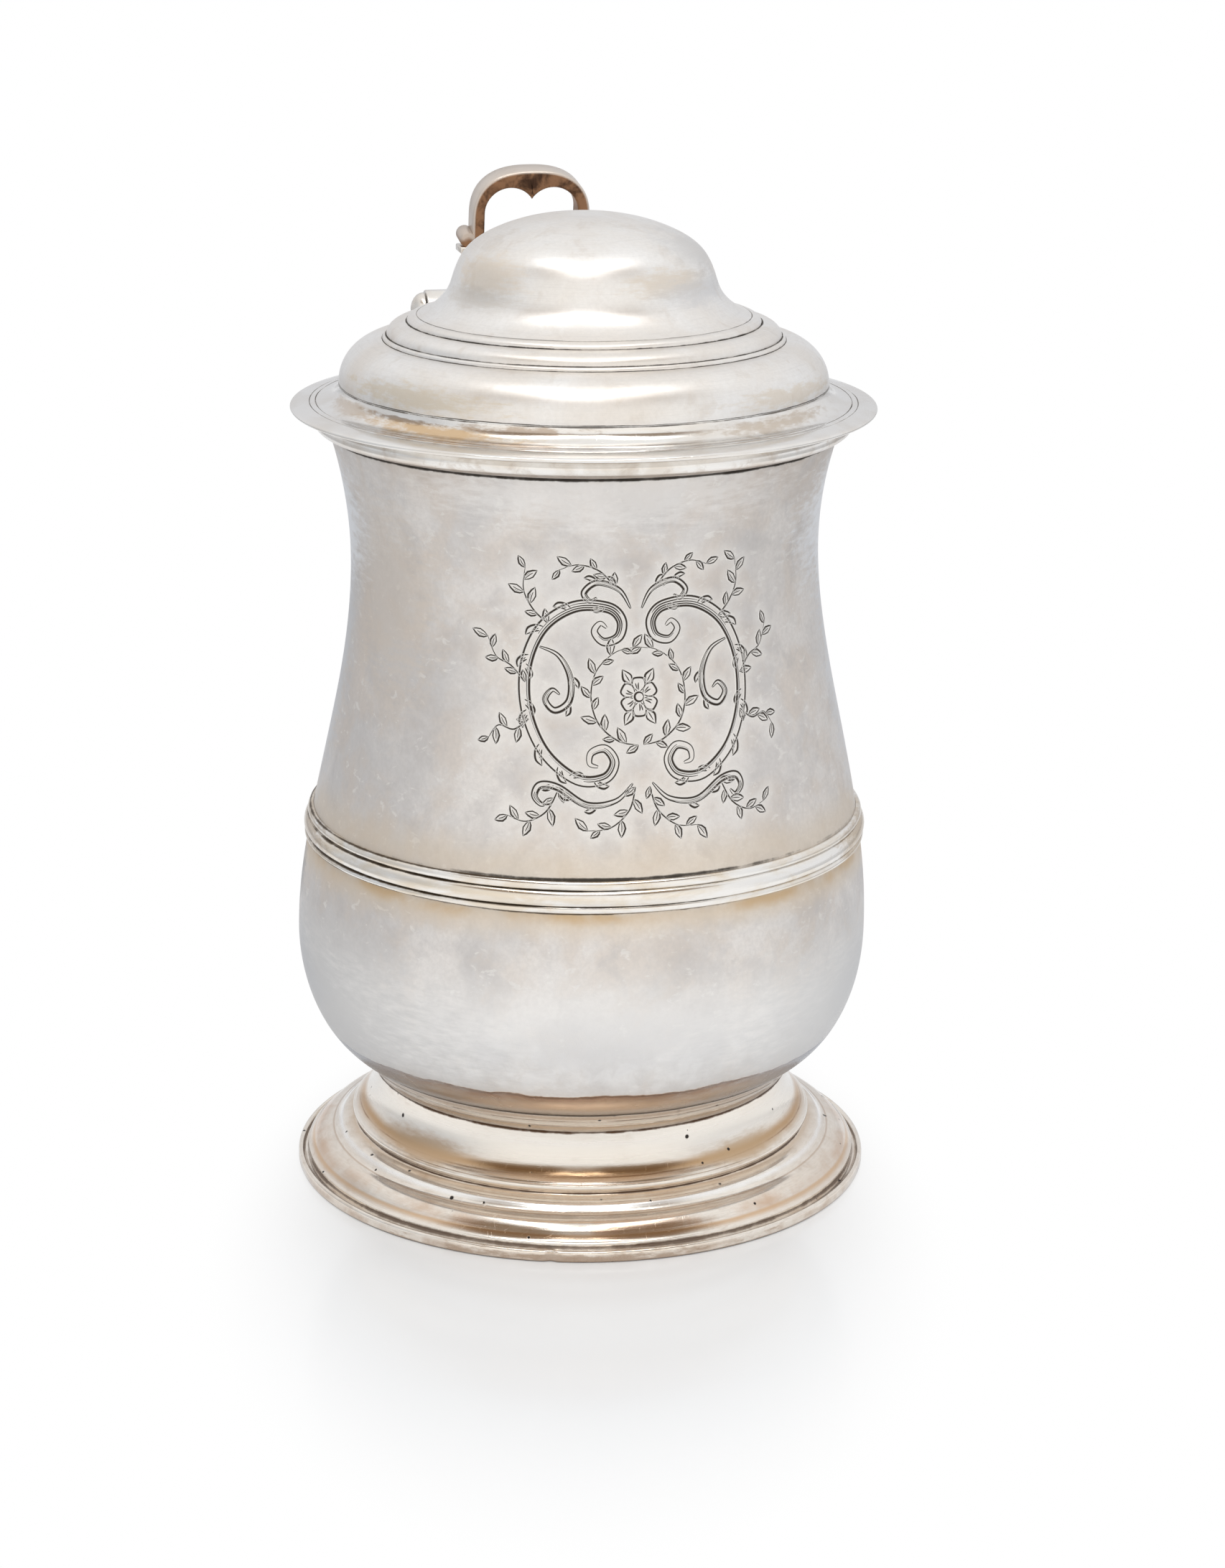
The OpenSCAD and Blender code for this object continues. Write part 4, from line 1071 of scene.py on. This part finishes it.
def makeLid():
    s = lidShape
    profile = smoothLine(s["dome"], 6)
    for crease, bead in s["steps"]:
        profile += [crease] + roundOut(*bead)
    profile += [s["skirt"]] + roundOut(*s["skirtIn"])[::-1]
    profile += [(max(0.0, r - s["wall"] * share), z - s["wall"] * (s["wallDrop"] - share))
                for r, z, share in s["inside"]]
    dome = turned("lidDome", profile, agedSilver("lidSilver", lidLook), closed=False)
    setDown(dome, "lid", "silver", "lid_dome")
    finish = agedSilver("flangeSilver", flangeLook)
    flange = s["flangeTop"] + hollowIn(*s["cove"]) + s["incised"]
    flange += smoothLine(s["brim"], 5) + arc(*s["brimEdge"])
    setDown(turned("lidFlange", flange, finish), "lid", "silver", "lid_flange")
    return setDown(turned("lidBezel", s["bezel"], finish), "lid", "silver", "lid_bezel")


makeLid()
print("lid turned")

# Handle: two halves along a scroll

handleShape = {
    "start": (59.8, 152), "out": 92, "up": 12, "joint": (66.57, 56), "lean": 16, "low": 44, "drop": 23,
    "tailOut": 13, "share": 0.72, "half": (10, 6), "back": (6.5, 4.4), "grip": (4.6, 3.2), "seam": 0.025,
    "gripRings": 84, "tailRings": 34, "roundSteps": 24, "roundPower": 0.9, "sharp": 40}
handleFinish = agedSilver("handleSilver", dict(
    mouldLook, rough=0.22, Lathe=0, Scratch=0.6, Grain=0.3,
    patches=[
        (18, 0.5, 0.15, 12, 1, 0.5, (0.70, 0.62, 0.53), 0.08),
        (5, 0.62, 0.08, 71, 1, 0.3, (0.50, 0.40, 0.31), 0.1)]))


def bezierAt(points, t):
    # a place on the curve and the heading there
    a, b, c, d = (Vector(p) for p in points)
    s = 1 - t
    place = a * s ** 3 + b * (3 * s * s * t) + c * (3 * s * t * t) + d * t ** 3
    return place, ((b - a) * s * s + (c - b) * (2 * s * t) + (d - c) * t * t).normalized()


def handleLine():
    h = handleShape
    (y, z), (jy, jz) = h["start"], h["joint"]
    upper = [(y, z), (y + h["out"], z + h["up"]), (jy + h["lean"], jz + h["low"]), (jy, jz)]
    lower = [(jy, jz), (jy - h["lean"] / 6, jz - h["low"] / 6), (jy, jz - h["drop"]),
             (jy + h["tailOut"], jz - h["drop"])]
    stops = [(upper, t, h["share"] * t) for t in spread(0, 1, h["gripRings"])]
    stops += [(lower, t, h["share"] + (1 - h["share"]) * t) for t in spread(0, 1, h["tailRings"])[1:]]
    return [bezierAt(points, t) + (share,) for points, t, share in stops]


def bridge(work, loops):
    count = len(loops[0])
    for a, b in zip(loops, loops[1:]):
        for k in range(count):
            work.faces.new((a[k], a[(k + 1) % count], b[(k + 1) % count], b[k]))


def smoothPiece(work, name, finish):
    bmesh.ops.recalc_face_normals(work, faces=work.faces)
    mesh = bpy.data.meshes.new(name)
    work.to_mesh(mesh)
    work.free()
    mesh.materials.append(finish)
    mesh.polygons.foreach_set("use_smooth", [True] * len(mesh.polygons))
    return addObject(name, mesh)


def handleHalf(name, node, side, depths):
    h = handleShape
    work = bmesh.new()
    loops = []
    for middle, heading, share in handleLine():
        half, deep = (low + (high - low) * share for low, high in (h["half"], depths))
        across = Vector((-heading.y, heading.x))
        loop = []
        for a in spread(0, pi, h["roundSteps"]):
            x = half * copysign(abs(cos(a)) ** h["roundPower"], cos(a))
            spot = middle + across * side * (h["seam"] + deep * sin(a) ** h["roundPower"])
            loop.append(work.verts.new(Vector((x, spot.x, spot.y)) * mm))
        loops.append(loop)
    bridge(work, loops)
    work.faces.new(loops[0])
    work.faces.new(loops[-1])
    made = tidyMesh(smoothPiece(work, name, handleFinish), h["sharp"])
    return setDown(made, "vessel", "silver", node)


handleHalf("handleBack", "handle_back", 1, handleShape["back"])
handleHalf("handleGrip", "handle_grip", -1, handleShape["grip"])
print("handle made")

# Smaller pieces keep their solids' shapes, with softened edges of the width given

softening = {"weldAt": 0.003 * mm, "flat": 1.5, "edge": 35.0, "sharp": 38.0, "segments": 3}
softPieces = {
    "handle_socket": (0.25, "vessel", "silver"), "handle_pad": (0.35, "vessel", "silver"),
    "handle_terminal": (0.4, "vessel", "silver"), "hinge_bracket": (0.4, "vessel", "silver"),
    "handle_knuckles": (0.25, "vessel", "silver"), "lid_knuckles": (0.25, "lid", "silver"),
    "pin_caps": (0.15, "vessel", "silver"), "lid_hinge_plate": (0.35, "lid", "silver"),
    "thumbpiece_base": (0.35, "lid", "worn_silver"), "hinge_pin": (0.1, "vessel", "worn_silver")}


def softened(node, name, width, finish):
    s = softening
    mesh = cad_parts[node].data.copy()
    mesh.name = name
    mesh.materials.clear()
    mesh.materials.append(finish)
    work = bmesh.new()
    work.from_mesh(mesh)
    bmesh.ops.remove_doubles(work, verts=work.verts, dist=s["weldAt"])
    bmesh.ops.dissolve_limit(work, angle_limit=radians(s["flat"]), verts=work.verts, edges=work.edges)
    work.to_mesh(mesh)
    work.free()
    made = addObject(name, mesh)
    edge = made.modifiers.new("edge", "BEVEL")
    edge.width = width * mm
    edge.segments = s["segments"]
    edge.limit_method = "ANGLE"
    edge.angle_limit = radians(s["edge"])
    edge.harden_normals = False
    baked = evaluatedMesh(made)
    made.modifiers.remove(edge)
    made.data = baked
    baked.polygons.foreach_set("use_smooth", [True] * len(baked.polygons))
    baked.set_sharp_from_angle(angle=radians(s["sharp"]))
    return made


for node, (width, body, slot) in softPieces.items():
    first, *rest = node.split("_")
    name = first + "".join(word.capitalize() for word in rest)
    setDown(softened(node, name, width, handleFinish), body, slot, node)
print("small pieces softened")

# Thumbpiece

# voluteEnd: share of the radius, and how far past the face
thumbShape = {
    "y": 58.2, "z": 185.4, "half": 12.7, "tall": 16.5, "deep": 6.2, "leg": 2.6, "lobe": 5.5, "lobeX": 4.6,
    "lobeZ": 7.3, "legLow": -0.4, "legTop": 5.6, "power": 2.5, "lean": 9, "round": 0.75, "rings": 5,
    "sharp": 50, "volute": 1.75, "voluteX": 13.6, "voluteZ": 1.7, "voluteSteps": 28,
    "voluteEnd": [(0.55, 0.05), (0.9, -0.15), (1, -0.6)], "voluteBrown": (0.35, 0.65, 0.3)}
thumbFinish = agedSilver("brownSilver", dict(
    mouldLook, metal=(0.74, 0.66, 0.585), metallic=0.8, rough=0.3, Lathe=0, Scratch=0.3, Grain=0.8,
    bump=0.45, patches=[(7, 0.55, 0.12, 28, 1, 0.35, (0.62, 0.53, 0.45), 0.06)],
    tarnish={
        "colour": (0.33, 0.18, 0.10), "dark": (0.075, 0.04, 0.025), "rough": 0.1, "Size": 4.6,
        "Level": 0.56, "Softness": 0.1, "Shift": 6}))


def thumbOutline():
    s = thumbShape
    outer = [(s["half"], z) for z in spread(s["legLow"], s["legTop"], 5)[:-1]]
    for x in spread(1.0, -1.0, 56):
        w = sin(pi / 2 * x)
        rise = (1 - abs(w) ** s["power"]) ** (1 / s["power"])
        outer.append((s["half"] * w, s["legTop"] + (s["tall"] - s["legTop"]) * rise))
    outer += [(-s["half"], z) for z in spread(s["legTop"], s["legLow"], 5)[1:]]
    left = [(s["leg"] - s["half"], z) for z in spread(s["legLow"], s["lobeZ"], 6)[:-1]]
    cusp = acos(s["lobeX"] / s["lobe"])
    left += arc(-s["lobeX"], s["lobeZ"], s["lobe"], s["lobe"], pi, cusp, 26)
    return outer, left + [(-x, z) for x, z in reversed(left)][1:]


def flatFaces(work, outer, inner):
    # a strip of faces between the outer and the inner line of the arch
    a, b = outer, inner[::-1]
    endA, endB = len(a) - 1, len(b) - 1
    i = j = 0
    while i < endA or j < endB:
        if i < endA and (j == endB or (i + 1) / endA <= (j + 1) / endB):
            work.faces.new((a[i], a[i + 1], b[j]))
            i += 1
        else:
            work.faces.new((a[i], b[j + 1], b[j]))
            j += 1


def addRoll(work, layer, x):
    # one of the little rolled feet
    s = thumbShape
    ends = [(share * s["volute"], s["deep"] / 2 + past) for share, past in s["voluteEnd"]]
    least, most, start = s["voluteBrown"]
    loops = []
    for r, y in [(r, -y) for r, y in ends] + ends[::-1]:
        loop = []
        for k in range(s["voluteSteps"]):
            a = 2 * pi * k / s["voluteSteps"]
            vertex = work.verts.new(Vector((x + r * cos(a), y, s["voluteZ"] + r * sin(a))) * mm)
            vertex[layer] = least + most * max(0.0, start - sin(a))
            loop.append(vertex)
        loops.append(loop)
    bridge(work, loops)
    work.faces.new(loops[0])
    work.faces.new(loops[-1])


def makeThumbpiece():
    # rings of one closed outline, each pulled in a little more towards the two faces
    s = thumbShape
    outer, inner = thumbOutline()
    ring = [Vector(p) for p in outer + inner]
    pulls = []
    for k in range(len(ring)):
        along = (ring[(k + 1) % len(ring)] - ring[k - 1]).normalized()
        pulls.append(Vector((-along.y, along.x)))  # inwards, as it runs anticlockwise
    work = bmesh.new()
    brown = work.verts.layers.float.new("tarnish")
    loops = []
    for step in spread(-1.0, 1.0, 2 * s["rings"] + 2):
        turn = abs(step) * pi / 2
        pull = s["round"] * (1 - cos(turn))
        level = copysign(s["deep"] / 2 - s["round"] + s["round"] * sin(turn), step)
        loop = []
        for k, spot in enumerate(ring):
            flat = spot + pulls[k] * pull
            vertex = work.verts.new(Vector((flat.x, -level, flat.y)) * mm)
            vertex[brown] = step ** 2 if k < len(outer) else 1.0
            loop.append(vertex)
        loops.append(loop)
    bridge(work, loops)
    for loop in (loops[0], loops[-1]):
        flatFaces(work, loop[:len(outer)], loop[len(outer):])
    for x in (-s["voluteX"], s["voluteX"]):
        addRoll(work, brown, x)
    lean = Matrix.Rotation(radians(s["lean"]), 4, "X")
    place = Matrix.Translation(Vector((0, s["y"], s["z"])) * mm) @ lean
    bmesh.ops.transform(work, matrix=place, verts=work.verts)
    made = smoothPiece(work, "thumbpiece", thumbFinish)
    made.data.set_sharp_from_angle(angle=radians(s["sharp"]))
    return setDown(made, "lid", "brown_silver", "thumbpiece")


makeThumbpiece()
print("thumbpiece made")

# Floor, light and camera

stageLook = {
    "size": 6, "drop": 0.05 * mm, "floorTone": (0.96, 0.98, 1), "sideTone": (0.56, 0.565, 0.575),
    "gloss": 0.14, "middle": (0, -0.045, 0), "stretch": (1, 0.55, 1), "nearWhite": 0.036,
    "farWhite": 0.077, "width": 0.15, "widen": 0.18, "sideFade": 0.16, "behind": (-0.75, 0.1)}


def makeFloor():
    s = stageLook
    mesh = bpy.data.meshes.new("paleFloor")
    corners = [(x * s["size"], y * s["size"], 0) for x, y in ((-1, -1), (1, -1), (1, 1), (-1, 1))]
    mesh.from_pydata(corners, [], [(0, 1, 2, 3)])
    floor = addObject("paleFloor", mesh)
    floor.location.z = -s["drop"]
    material = bpy.data.materials.new("paleFloor")
    material.use_nodes = True
    tree = material.node_tree
    shader = tree.nodes["Principled BSDF"]
    place = mapped(flow(tree, "ShaderNodeTexCoord", {}, "Object"), turn=(0.0, 0.0, -viewTurn))
    shaped = vectors("MULTIPLY", vectors("SUBTRACT", place, s["middle"]), s["stretch"])
    fade = mapRange(vectors("LENGTH", shaped, port="Value"), s["nearWhite"], s["farWhite"])
    across, along, up = split(place)
    beyond = calc("ABSOLUTE", across) - (along * s["widen"] + s["width"])
    behind = mapRange(split(vectors("NORMALIZE", place))[1], *s["behind"])
    aside = mapRange(beyond, 0.0, s["sideFade"]) * behind
    send(mixColour(aside, s["floorTone"], s["sideTone"]), shader.inputs["Base Color"])
    send(s["gloss"], shader.inputs["Roughness"])
    path = ports(tree, addNode(tree, "ShaderNodeLightPath", {}))
    seen = calc("MAXIMUM", path["Is Camera Ray"], path["Is Glossy Ray"])
    seen = calc("MAXIMUM", seen, path["Is Transmission Ray"])
    white = flow(tree, "ShaderNodeEmission", {"Color": (1.0, 1.0, 1.0, 1.0), "Strength": 1.0})
    mixed = {0: fade * (1.0 - aside) * seen, 1: wire(tree, shader.outputs[0]), 2: white}
    send(flow(tree, "ShaderNodeMixShader", mixed), tree.nodes["Material Output"].inputs[0])
    mesh.materials.append(material)
    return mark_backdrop(floor)


studio = {
    "left": (0.68, 0.70, 0.73), "right": (0.93, 0.94, 0.96), "front": (1.14, 1.115, 1.075),
    "gap": (0.28, 0.205, 0.14), "back": (0.90, 0.90, 0.91), "above": (1, 1, 1), "sides": (-0.8, 0.8),
    "behind": (-0.3, -0.85), "ahead": (0.2, 0.9), "rise": (0.35, 0.8), "gapLow": (0.66, 0.74),
    "gapHigh": (0.88, 0.93), "gapAhead": (0.1, 0.6), "slot": (0.06, 0.34), "slotLeast": 0.6,
    "strength": 0.92}


def makeWorld():
    s = studio
    scene.world = bpy.data.worlds.new("studio")
    scene.world.use_nodes = True
    tree = scene.world.node_tree
    direction = flow(tree, "ShaderNodeTexCoord", {}, "Generated")
    height = split(direction)[2]
    level = vectors("NORMALIZE", vectors("MULTIPLY", direction, (1.0, 1.0, 0.0)))
    facing = vectors("DOT_PRODUCT", level, (sin(viewTurn), -cos(viewTurn), 0.0), "Value")
    across = vectors("DOT_PRODUCT", level, viewRight, "Value")
    colour = mixColour(mapRange(across, *s["sides"]), s["left"], s["right"])
    colour = mixColour(mapRange(facing, *s["behind"]), colour, s["back"])
    colour = mixColour(mapRange(facing, *s["ahead"]), colour, s["front"])
    colour = mixColour(mapRange(height, *s["rise"]), colour, s["above"])
    gap = mapRange(height, *s["gapLow"]) * mapRange(height, *s["gapHigh"], 1.0, 0.0)
    gap = gap * mapRange(facing, *s["gapAhead"])
    gap = gap * mapRange(calc("ABSOLUTE", across), *s["slot"], s["slotLeast"], 1.0)
    background = tree.nodes["Background"].inputs
    send(mixColour(gap, colour, s["gap"]), background["Color"])
    send(s["strength"], background["Strength"])


lamps = {
    "overLeft": {"low": (-0.02, -0.40, 0.72), "high": (-0.27, -0.03, 0.84), "wide": 0.15, "watts": 0.55},
    "overRight": {"low": (0.02, -0.40, 0.72), "high": (0.27, -0.03, 0.84), "wide": 0.15, "watts": 0.55},
    "front": {
        "low": (0.15, -0.75, 0.5), "high": (0.15, -1.05, 0.9), "wide": 0.9, "watts": 1.25, "soft": True}}
lampAim = Vector((0.0, 0.0, 0.15))


def makeLamps():
    for name, lamp in lamps.items():
        light = bpy.data.lights.new(name, "AREA")
        light.shape = "RECTANGLE"
        low, high = (Matrix.Rotation(viewTurn, 3, "Z") @ Vector(lamp[end]) for end in ("low", "high"))
        light.size, light.size_y = lamp["wide"], (high - low).length
        light.energy = lamp["watts"]
        made = addObject(name, light)
        made.location = (low + high) / 2
        along = (high - low).normalized()
        sideways = along.cross((low + high) / 2 - lampAim).normalized()
        made.rotation_euler = Matrix((sideways, along, sideways.cross(along))).transposed().to_euler()
        made.visible_glossy = "soft" not in lamp  # a fill light, too far off to mirror


lens = {
    "away": 714.8, "high": 293.6, "pitch": 16.55, "yaw": 0.507, "roll": 0.423, "focal": 5001,
    "tall": 2184, "sensor": 36, "near": 0.01, "far": 50}


def makeCamera():
    data = bpy.data.cameras.new("photoCamera")
    data.sensor_width = lens["sensor"]
    data.lens = lens["focal"] / lens["tall"] * lens["sensor"]
    data.clip_start, data.clip_end = lens["near"], lens["far"]
    camera = addObject("photoCamera", data)
    turn = Matrix.Rotation(viewTurn, 4, "Z")
    camera.location = turn @ (Vector((0.0, -lens["away"], lens["high"])) * mm)
    for degrees, axis in ((-lens["yaw"], "Z"), (90 - lens["pitch"], "X"), (lens["roll"], "Z")):
        turn = turn @ Matrix.Rotation(radians(degrees), 4, axis)
    camera.rotation_euler = turn.to_euler()
    scene.camera = camera


makeFloor()
makeWorld()
makeLamps()
makeCamera()
print("floor, light and camera set")
